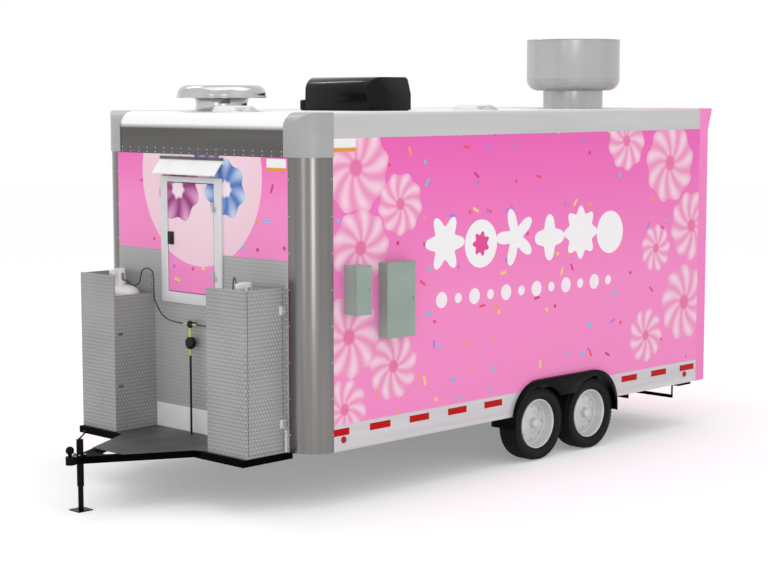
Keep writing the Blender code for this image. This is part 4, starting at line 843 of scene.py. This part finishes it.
outline = [(nose, header_low), *arc(nose - roof_roll, roof_edge - roof_roll, roof_roll, 0, 90, 14),
           (nose - post_radius, roof_edge), (nose - post_radius, roof_edge - 0.05),
           *arc(nose - roof_roll, roof_edge - roof_roll, 0.07, 90, 0, 14), (nose - 0.05, header_low)]
header = fit(join("rolled_header", [blank("header", outline, "Y", -1.0517, 1.0517)]), header_metal)
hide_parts("front_header")
rivets = [rivet_row((nose, -0.985, height), (0, 0.1094, 0), 19, "X", 0.0048) for height in (2.694, 2.726)]
for side, label in both_sides:
    section = [(0.193, ride_height), (post_radius, ride_height), (post_radius, post_top), (0.193, post_top)]
    post = spun("post", section, (nose - post_radius, side * flat_half, 0), "Z", 24, 0 if side > 0 else -90, 90)
    post = fit(join(label + "_rolled_post", [post]), post_metal)
    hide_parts(label + "_corner_post")
    front = nose + cap_proud
    back = front - post_radius - cap_proud
    profile = [(front, cap_low), *arc(front - roof_roll, roof_edge + cap_rise - roof_roll, roof_roll, 0, 90, 14),
               (back, roof_edge + cap_rise), (back, cap_low)]
    cap = blank("cap", profile, "Y", *sorted((side * cap_reach, side * (half_width + 0.02))))
    plan = arc(nose - post_radius, flat_half, post_radius + cap_proud, 0, 90, 24)
    plan += [(nose - post_radius, cap_reach - 0.02), (front, cap_reach - 0.02)]
    cut_with(cap, blank("corner", [(x, side * y) for x, y in plan], "Z", 2.6, 3.1), way="INTERSECT")
    cap = fit(join(label + "_roof_cap", [cap]), cap_grey)
    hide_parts(label + "_corner_cap")
    for x, y, axis in ((nose - 0.0005, flat_half + 0.01, "X"), (nose - 0.231, half_width - 0.0005, "Y")):
        rivets.append(rivet_row((x, side * y, 0.56), (0, 0, 0.28), 8, axis, 0.005))
fit(join("header_rivets", rivets), rivet_bright)
dress(fascia_grey, "left_fascia", "right_fascia")

# The roof is one white sheet over its bows. Each plumbing vent ends in a low
# white louvred hood, with a small folded flashing beside it.
roof_white = finish("roof_white", tone(238, 239, 239), tone(226, 228, 228), (0.42, 0.56), patch=1.5, grain=60.0,
                    bump=0.0006)
flashing_grey = finish("flashing_grey", tone(196, 197, 198), tone(182, 183, 184), (0.35, 0.5), metallic=0.2,
                       patch=8.0)
dress(roof_white, "roof")
roof_top = 3.018
roof_seat = roof_top + 0.0005


def hood(name, low, high, inset, edge=0.003):
    """A low cover whose sides lean in towards its top."""
    piece = bar(name, low, high, 0)
    middle = [(a + b) / 2 for a, b in zip(low, high)]
    for corner in piece.data.vertices:
        if corner.co.z > middle[2]:
            for axis in (0, 1):
                corner.co[axis] += inset if corner.co[axis] < middle[axis] else -inset
    return round_edges(piece, edge)


hoods = []
flashings = []
for x, y in ((1.5705, 0.0), (-0.8845, 0.4)):
    cover = hood("vent_hood", (x - 0.134, y - 0.134, roof_seat), (x + 0.134, y + 0.134, roof_top + 0.049), 0.022)
    slots = [bar("slot", (x - 0.095, y + way * 0.126 - 0.014, roof_top + 0.01 * step),
                 (x + 0.095, y + way * 0.126 + 0.014, roof_top + 0.01 * step + 0.004), 0)
             for way in (1, -1) for step in (1, 2, 3)]
    hoods.append(cut_with(cover, join("slots", slots)))
    flashings.append(hood("flashing", (x - 0.06, y + 0.135, roof_seat), (x + 0.06, y + 0.25, roof_top + 0.042),
                          0.048, 0.002))
fit(join("vent_hoods", hoods), roof_white)
fit(join("vent_flashings", flashings), flashing_grey)

# A wide spun aluminium cap on a waisted neck lets the kitchen's air out at the
# front. Spinning leaves it bright, with faint uneven waves.
spun_bright = finish("spun_bright", tone(196), tone(176), (0.14, 0.24), metallic=1.0, patch=5.0, grain=9.0,
                     bump=0.003)
section = [(0, roof_seat), (0.25, roof_seat), (0.25, 3.0225), (0.23, 3.024), (0.222, 3.038), (0.215, 3.066),
           (0.215, 3.09), (0.222, 3.116), (0.232, 3.128), (0.364, 3.128), (0.372, 3.129), (0.375, 3.132),
           (0.375, 3.138), (0.371, 3.145), (0.37, 3.15), *arc(0.29, 3.1533, 0.08, 0, 90, 9), (0.17, 3.2333), (0, 3.232)]
cap = fit(join("mushroom_cap", [spun("cap", section, (1.3655, -0.4, 0), "Z", 72)]), spun_bright)
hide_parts("mushroom_vent")

# The kitchen exhaust is an upblast fan: an open spun drum on a round curb,
# with the motor in a can in its middle, held to the drum by three flat struts.
fan_aluminium = finish("fan_aluminium", tone(182, 182, 183), tone(174, 174, 175), (0.27, 0.33), metallic=0.6,
                       stretch=(5, 5, 0.12), patch=2.0, grain=60.0, bump=0.00005)
fan_x = -2.5445
fan_y = 0.2
section = [(0, roof_seat), (0.305, roof_seat), (0.305, 3.0215), (0.287, 3.023), (0.285, 3.026), (0.285, 3.186),
           (0.29, 3.19), *arc(0.335, 3.3, 0.11, -90, 0, 10), (0.447, 3.304), (0.447, 3.31), (0.445, 3.314),
           (0.444, 3.662), (0.448, 3.665), (0.449, 3.67), (0.447, 3.6733), (0.44, 3.6733), (0.436, 3.67),
           (0.436, 3.3), *arc(0.335, 3.3, 0.1, 0, -90, 10), (0.172, 3.2), (0.17, 3.205), (0.17, 3.385),
           (0.163, 3.402), (0.145, 3.41), (0.05, 3.412), (0.0, 3.412)]
drum = spun("drum", section, (fan_x, fan_y, 0), "Z", 80)
strut = bar("strut", (fan_x + 0.165, fan_y - 0.015, 3.335), (fan_x + 0.44, fan_y + 0.015, 3.341), 0.001, 1)
turn = {"steps": 2, "dupli": True, "angle": math.tau * 2 / 3, "center": (fan_x, fan_y, 0), "axis": (0, 0, 1)}
work(strut, (bpy.ops.mesh.spin, turn))
drum = fit(join("upblast_drum", [drum, strut]), fan_aluminium)
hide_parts("exhaust_fan")

# The rooftop air conditioner is a glossy black moulded shroud over a flat base
# pan. Its nose is rounded off against the wind, its sides are pressed in
# facets, and the condenser's air leaves through slots at the back.
shroud_black = finish("shroud_black", tone(5, 5, 6), tone(12), (0.12, 0.2), patch=3.0, grain=30.0, specular=0.18)
ac_front = 0.4355
ac_rear = -0.0245
ac_half = 0.45
ac_foot = 3.025
ac_top = 3.303
ac_nose = 0.14
ac_brow = 0.11
ac_tail = 0.03


def slice_off(piece, point, normal):
    """Planes away what lies beyond a plane, and closes the cut."""
    work(piece, (bpy.ops.mesh.bisect, {"plane_co": point, "plane_no": normal, "use_fill": True, "clear_outer": True}))


nose_round = [(ac_front - ac_nose + ac_nose * u, ac_top - ac_brow + ac_brow * v) for u, v in arc(0, 0, 1, 0, 90, 14)]
tail_round = arc(ac_rear + ac_tail, ac_top - ac_tail, ac_tail, 90, 180, 6)
outline = [(ac_front, ac_foot), *nose_round, *tail_round, (ac_rear, ac_foot)]
shroud = blank("shroud", outline, "Y", -ac_half, ac_half)
for side in (1, -1):
    slice_off(shroud, (0, side * ac_half, 3.16), (0, side * 0.143, 0.042))
    foot = Vector((0.22, side * ac_half, 3.13))
    crest = Vector((0.33, side * 0.41, ac_top))
    front = Vector((ac_front, side * 0.385, 3.1))
    away = (crest - foot).cross(front - foot)
    slice_off(shroud, foot, away if away.y * side > 0 else -away)
slots = [bar("slot", (ac_rear - 0.01, -0.34, 3.09 + 0.026 * index), (ac_rear + 0.018, 0.34, 3.101 + 0.026 * index), 0)
         for index in range(6)]
round_edges(cut_with(shroud, join("slots", slots)), 0.007, 3, 12)
pan = bar("pan", (ac_rear + 0.012, -0.432, roof_seat), (ac_front - 0.012, 0.432, ac_foot + 0.01), 0)
lug = bar("lug", (0.355, -0.462, roof_top + 0.001), (ac_front - 0.003, -0.392, 3.112), 0.018, 4)
shroud = fit(join("air_conditioner_shroud", [shroud, pan, lug]), shroud_black)
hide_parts("air_conditioner")

# Treadplate guards the lower front wall against stones, over a plain kick
# plate at deck level. A narrow hatch with a flush latch hangs in a grey
# surround under a folded white visor.
trim_grey = finish("trim_grey", tone(222, 222, 223), tone(214, 214, 215), (0.36, 0.5), metallic=0.05, patch=2.5,
                   grain=220.0)
white_enamel = finish("white_enamel", tone(249, 249, 248), tone(240), (0.26, 0.38), patch=5.0, grain=240.0)
latch_black = finish("latch_black", tone(14), tone(26), (0.35, 0.5), patch=30.0, grain=600.0, specular=0.25)
rail_grey = finish("rail_grey", tone(96, 97, 98), tone(84, 85, 86), (0.35, 0.5), metallic=0.4, patch=6.0)
# Painted light: the wall's treadplate is coloured lighter than the cabinets' (170 against 154) to offset the shade that
# falls on the wall between the cabinets.
wall_plate_painted_lighter = chequer_plate("wall_plate_painted_lighter", tone(170), tone(162, 162, 163), tone(226), (0.4, 0.54), 0.1, 0.03, 0.001)
wall_seat = nose + 0.0001
plate_foot = 0.427
plate_top = 1.896
plate_face = 1.9577
hatch_right = -0.4655
hatch_left = 0.2955
hatch_sill = 1.4745
kick_half = 0.57
outline = [(-1.05, plate_foot), (1.05, plate_foot), (1.05, plate_top), (hatch_left + 0.001, plate_top),
           (hatch_left + 0.001, hatch_sill - 0.001), (hatch_right - 0.001, hatch_sill - 0.001),
           (hatch_right - 0.001, plate_top), (-1.05, plate_top)]
treadplate = blank("treadplate", outline, "X", wall_seat, plate_face)
fit(join("front_treadplate", [treadplate]), wall_plate_painted_lighter)
kick_plate = bar("kick_plate", (wall_seat + 0.0001, -kick_half, plate_foot), (1.9582, kick_half, 0.627), 0.0006, 1)
fit(join("kick_plate", [kick_plate]), white_enamel)
surround = bar("surround", (wall_seat + 0.0002, hatch_right, hatch_sill), (1.975, hatch_left, 2.5015), 0)
cut_with(surround, bar("hole", (1.9, hatch_right + 0.09, hatch_sill + 0.09), (2.0, hatch_left - 0.09, 2.4575), 0))
fit(join("hatch_surround", [round_edges(surround, 0.003)]), trim_grey)
latch = [bar("plate", (1.9736, -0.37, 1.949), (1.985, -0.298, 2.053), 0.004, 3),
         bar("paddle", (1.983, -0.356, 1.962), (1.989, -0.312, 2.02), 0.003, 3)]
fit(join("hatch_latch", latch), latch_black, "hatch")
dress(white_enamel, "hatch_visor")
rail = bar("rail", (wall_seat + 0.0001, -0.474, 2.6415), (1.972, 0.308, 2.662), 0.002)
fit(join("visor_rail", [rail]), rail_grey)
rivets = [rivet_row((1.9582, y, 0.452), (0, 0, 0.075), 3, "X", 0.004) for y in (-0.555, 0.555)]
for y, z, step_y, step_z, count in ((1.039, 0.47, 0, 0.155, 10), (0.52, 1.884, 0.13, 0, 5)):
    rivets += [rivet_row((plate_face, side * y, z), (0, side * step_y, step_z), count, "X", 0.004)
               for side in (1, -1)]
fit(join("front_rivets", rivets), rivet_bright)

# Two blank vinyl labels, white with a plain amber foot, are stuck on near the
# driver's front corner: one on the front wall and one on the side.
label_white = finish("label_white", tone(248, 248, 246), tone(240, 240, 238), (0.3, 0.4), patch=12.0, grain=500.0,
                     bump=0.0001)
label_amber = finish("label_amber", tone(232, 158, 52), tone(226, 148, 44), (0.3, 0.4), patch=12.0, grain=500.0,
                     bump=0.0001)
labels = [bar("label", (wall_seat, 0.815, 2.575), (1.956, 1.035, 2.671), 0),
          bar("label", (1.469, half_width + 0.0001, 2.726), (1.708, half_width + 0.0005, 2.824), 0)]
feet = [bar("foot", (wall_seat + 0.0001, 0.815, 2.575), (1.9562, 1.035, 2.603), 0),
        bar("foot", (1.469, half_width + 0.0002, 2.726), (1.708, half_width + 0.0007, 2.755), 0)]
fit(join("blank_labels", labels), label_white)
fit(join("label_feet", feet), label_amber)

# The generator inlet and the breaker panel sit in sage green steel boxes on the
# driver's side. Each has a lid that laps over its body, hung on small hinges.
sage_enamel = finish("sage_enamel", tone(150, 167, 156), tone(143, 160, 150), (0.36, 0.48), patch=5.0, grain=380.0)
dress(sage_enamel, "inlet_box", "breaker_box")
lap = 0.0015
lids = []
hasps = []
for back, front, low, high, face in ((1.4455, 1.6005, 1.481, 1.857, 1.44), (0.9155, 1.2255, 1.266, 1.856, 1.395)):
    lids.append(bar("lid", (back - lap, face - 0.022, low - lap), (front + lap, face + 0.002, high + lap), 0.004, 3))
    lids.append(bar("drip_edge", (back - 0.004, face - 0.06, high), (front + 0.004, face + 0.0045, high + 0.0035),
                    0.001, 1))
    knuckle = [(0, -0.022), (0.0045, -0.022), (0.0045, 0.022), (0, 0.022)]
    lids += [spun("knuckle", knuckle, (front + 0.0025, face - 0.02, height), "Z", 12)
             for height in (low + 0.07, high - 0.07)]
    middle = (low + high) / 2
    hasps.append(bar("hasp", (back + 0.012, face + lap, middle - 0.018), (back + 0.026, face + 0.0065, middle + 0.018),
                     0.0015))
fit(join("box_lids", lids), sage_enamel)
fit(join("box_hasps", hasps), zinc)

# The gas cabinets are bent from treadplate and open at the top, with slots for
# air in their inner sides and a door on the outer side, hung on leaf hinges.
cabinet_plate = chequer_plate("cabinet_plate", tone(154), tone(144, 144, 145), tone(214), (0.4, 0.54), 0.1, 0.03,
                              0.001)
dress(cabinet_plate, "left_cabinet", "right_cabinet", "left_cabinet_door", "right_cabinet_door")
cabinet_face = 1.027
leaf_heights = (0.617, 1.491)
for side, label in both_sides:
    near, far = sorted((side * (cabinet_face + 0.0002), side * (cabinet_face + 0.0055)))
    fixed, moving = [[bar("leaf", (back, near, height), (front, far, height + 0.066), 0.0008, 1)
                      for height in leaf_heights] for back, front in ((1.974, 1.9905), (1.9945, 2.0305))]
    fixed.append(bar("angle", (1.9585, near, 0.423), (1.98, far, 0.6), 0.0008, 1))
    fit(join(label + "_hinge_leaves", fixed), trim_grey)
    fit(join(label + "_door_leaves", moving), trim_grey, label + "_cabinet_leaf")

# Each cabinet holds an upright gas cylinder on a foot ring, white enamel over
# steel. A collar with two windows guards the valve and its handwheel.
brass = finish("brass", tone(203, 208, 128), tone(186, 190, 112), (0.28, 0.42), metallic=0.35, patch=30.0,
               grain=500.0)
shell_section = [(0, 0.445), (0.098, 0.445), (0.1, 0.434), (0.106, 0.434), (0.108, 0.45), (0.14, 0.462),
                 (0.158, 0.485), (0.165, 0.52), (0.165, 0.74), (0.1658, 0.744), (0.1658, 0.75), (0.165, 0.754),
                 (0.165, 1.52), *[(0.045 + 0.12 * u, 1.521 + 0.075 * v) for u, v in arc(0, 0, 1, 6, 90, 9)],
                 (0, 1.5962)]
collar_section = [(0.046, 1.588), (0.05, 1.588), (0.05, 1.733), (0.046, 1.733)]
valve_section = [(0, 1.59), (0.014, 1.59), (0.014, 1.64), (0.01, 1.646), (0.01, 1.664), (0.005, 1.668),
                 (0.005, 1.684), (0, 1.684)]
handwheel_section = [(0, 1.682), (0.026, 1.682), (0.03, 1.686), (0.03, 1.696), (0.026, 1.7), (0.012, 1.696),
                     (0, 1.696)]
x = 2.1605
for side, label in both_sides:
    y = side * 0.79
    place = (x, y, 0)
    shell = spun("shell", shell_section, place, "Z", 56)
    collar = spun("collar", collar_section, place, "Z", 40)
    cut_with(collar, bar("window", (x - 0.016, y - 0.08, 1.64), (x + 0.016, y + 0.08, 1.7), 0.006, 3),
             bar("doorway", (x - 0.08, y - 0.02, 1.625), (x, y + 0.02, 1.712), 0.006, 3))
    guard = bar("guard", (x + 0.047, y + 0.01, 1.686), (x + 0.112, y + 0.05, 1.7325), 0.004, 3)
    tank = fit(join(label + "_gas_cylinder", [shell, collar, guard]), white_enamel)
    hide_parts(label + "_gas_tank")
    valve = [spun("valve", valve_section, place, "Z", 20), spun("wheel", handwheel_section, place, "Z", 12)]
    fit(join(label + "_cylinder_valve", valve), brass)

# The changeover valve and the second-stage regulator hang on the front wall,
# with brass stubs between them. A black riser carries the gas below the deck.
riser_x = 2.0155
riser_top = 1.073
knob_section = [(0, -0.016), (0.02, -0.016), (0.03, -0.008), (0.032, 0.002), (0.029, 0.01), (0.02, 0.017),
                (0.008, 0.02), (0, 0.02)]
disc_section = [(0, -0.032), (0.03, -0.032), (0.045, -0.023), (0.051, -0.008), (0.051, 0.006), (0.045, 0.018),
                (0.032, 0.026), (0.028, 0.03), (0.01, 0.033), (0, 0.033)]
riser_section = [(0, deck_top + 0.0002), (0.009, deck_top + 0.0002), (0.009, riser_top), (0, riser_top)]
parts = [spun("knob", knob_section, (riser_x, regulator_y, regulator_z), "X", 32),
         spun("disc", disc_section, (riser_x, regulator_y, 1.17), "X", 40),
         spun("riser", riser_section, (riser_x, regulator_y, 0), "Z", 16),
         bar("bracket", (1.9579, regulator_y - 0.012, 1.309), (riser_x, regulator_y + 0.012, 1.333), 0.002)]
regulator = fit(join("changeover_regulator", parts), latch_black)
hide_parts("regulator")
stubs = []
for low, high, radius in ((1.205, 1.302, 0.011), (1.068, 1.134, 0.01)):
    nut_low = (low + high) / 2 - 0.009
    nut_high = (low + high) / 2 + 0.009
    section = [(0, low), (radius, low), (radius, nut_low - 0.001), (radius * 1.25, nut_low),
               (radius * 1.25, nut_high), (radius, nut_high + 0.001), (radius, high), (0, high)]
    stubs.append(spun("stub", section, (riser_x, regulator_y, 0), "Z", 12))
stub_section = ((0, 0.024), (0.008, 0.024), (0.008, 0.048), (0.011, 0.05), (0.011, 0.066), (0.0075, 0.068),
                (0.0075, 0.081), (0, 0.081))
for way in (1, -1):
    section = [(radius, way * along) for radius, along in stub_section]
    stubs.append(spun("stub", section, (riser_x, regulator_y, regulator_z), "Y", 12))
fit(join("regulator_stubs", stubs), brass)

# The serving side opens on the curb side: four sliding panes in an aluminium
# frame, a lift-up awning edged in aluminium, and a shelf that folds down.
window_metal = finish("window_metal", tone(206, 207, 208), tone(192, 193, 195), (0.28, 0.42), metallic=0.5,
                      stretch=(0.2, 4, 4), patch=3.0, grain=180.0)
shelf_metal = finish("shelf_metal", tone(196, 197, 198), tone(182, 183, 185), (0.26, 0.4), metallic=0.7,
                     stretch=(0.15, 6, 6), patch=3.0, grain=220.0, bump=0.0002)
pane_glass = finish("pane_glass", tone(236, 243, 241), tone(228, 238, 236), (0.02, 0.05), patch=1.0, grain=40.0,
                    bump=0.0001)
pane_glass.node_tree.nodes["Principled BSDF"].inputs["Transmission Weight"].default_value = 1.0
dress(window_metal, "serving_frame")
dress(shelf_metal, "serving_shelf")
dress(pane_glass, "serving_glass")
awning_face = -half_width - 0.0001
edging = [bar("edging", (low_x, -1.2972, low_z), (high_x, awning_face, high_z), 0.0008, 1)
          for low_x, low_z, high_x, high_z in ((-1.189, 1.5055, 1.0, 1.5355), (-1.189, 2.464, 1.0, 2.494),
                                               (-1.189, 1.5355, -1.159, 2.464), (0.97, 1.5355, 1.0, 2.464))]
fit(join("awning_edging", edging), window_metal, "awning")
paddles = []
for x in (-0.85, 0.66):
    paddles.append(bar("plate", (x - 0.045, -1.3, 1.56), (x + 0.045, awning_face, 1.64), 0.003, 2))
    paddles.append(bar("paddle", (x - 0.028, -1.306, 1.572), (x + 0.028, -1.299, 1.622), 0.003, 2))
fit(join("awning_latches", paddles), latch_black, "awning")

# The rear is a plain wall with one entry door. It has a folded door frame, a
# drip cap, a lever latch, and red lamps along the beam and at the sill's ends.
frame_pink = finish("frame_pink", tone(251, 139, 204), tone(248, 133, 200), (0.3, 0.4), patch=2.0, grain=120.0,
                    specular=0.35)
dress(frame_pink, "rear_frame")
rear_seat = -3.1947
jambs = [bar("jamb", (-3.199, low_y, low_z), (rear_seat, high_y, 2.6), 0.001, 1)
         for low_y, high_y, low_z in ((-0.462, -0.4265, 0.615), (0.442, 0.47, 0.615), (-0.4265, 0.442, 2.565))]
jambs.append(bar("drip_cap", (-3.218, -0.48, 2.6), (rear_seat, 0.49, 2.608), 0.002, 2))
fit(join("door_frame", jambs), window_metal)
plate = bar("plate", (-3.201, -0.385, 1.33), (rear_seat, -0.305, 1.5), 0.004, 3)
lever = [(-3.199, -0.345, 1.455), (-3.218, -0.345, 1.455), (-3.224, -0.338, 1.455), (-3.224, -0.3, 1.455),
         (-3.224, -0.24, 1.452)]
lever = rod("lever", smooth_line(lever, 4), 0.008, 2)
fit(join("door_lever", [plate, lever]), latch_black, "entry_door")
lenses = [lamp_lens((-3.2247, y, 0.506), "X", 0.05, 0.02) for y in (1.08, -1.08)]
lenses += [lamp_lens((-3.262, y, 2.952), "X", 0.02, 0.012) for y in (-1.2, -0.16, 0, 0.16, 1.2)]
fit(join("rear_lamps", lenses), lens_red)

# The floor is sheet metal over the chassis, and the waste water tank hangs
# under it at the back in its flat-bar cradle, moulded in black plastic.
floor_sheet = finish("floor_sheet", tone(170, 171, 172), tone(156, 157, 158), (0.34, 0.5), metallic=0.5, patch=4.0)
tank_black = finish("tank_black", tone(24, 24, 25), tone(36, 36, 37), (0.45, 0.6), patch=8.0, grain=260.0,
                    bump=0.0008, specular=0.3)
dress(floor_sheet, "floor")
dress(tank_black, "waste_tank")
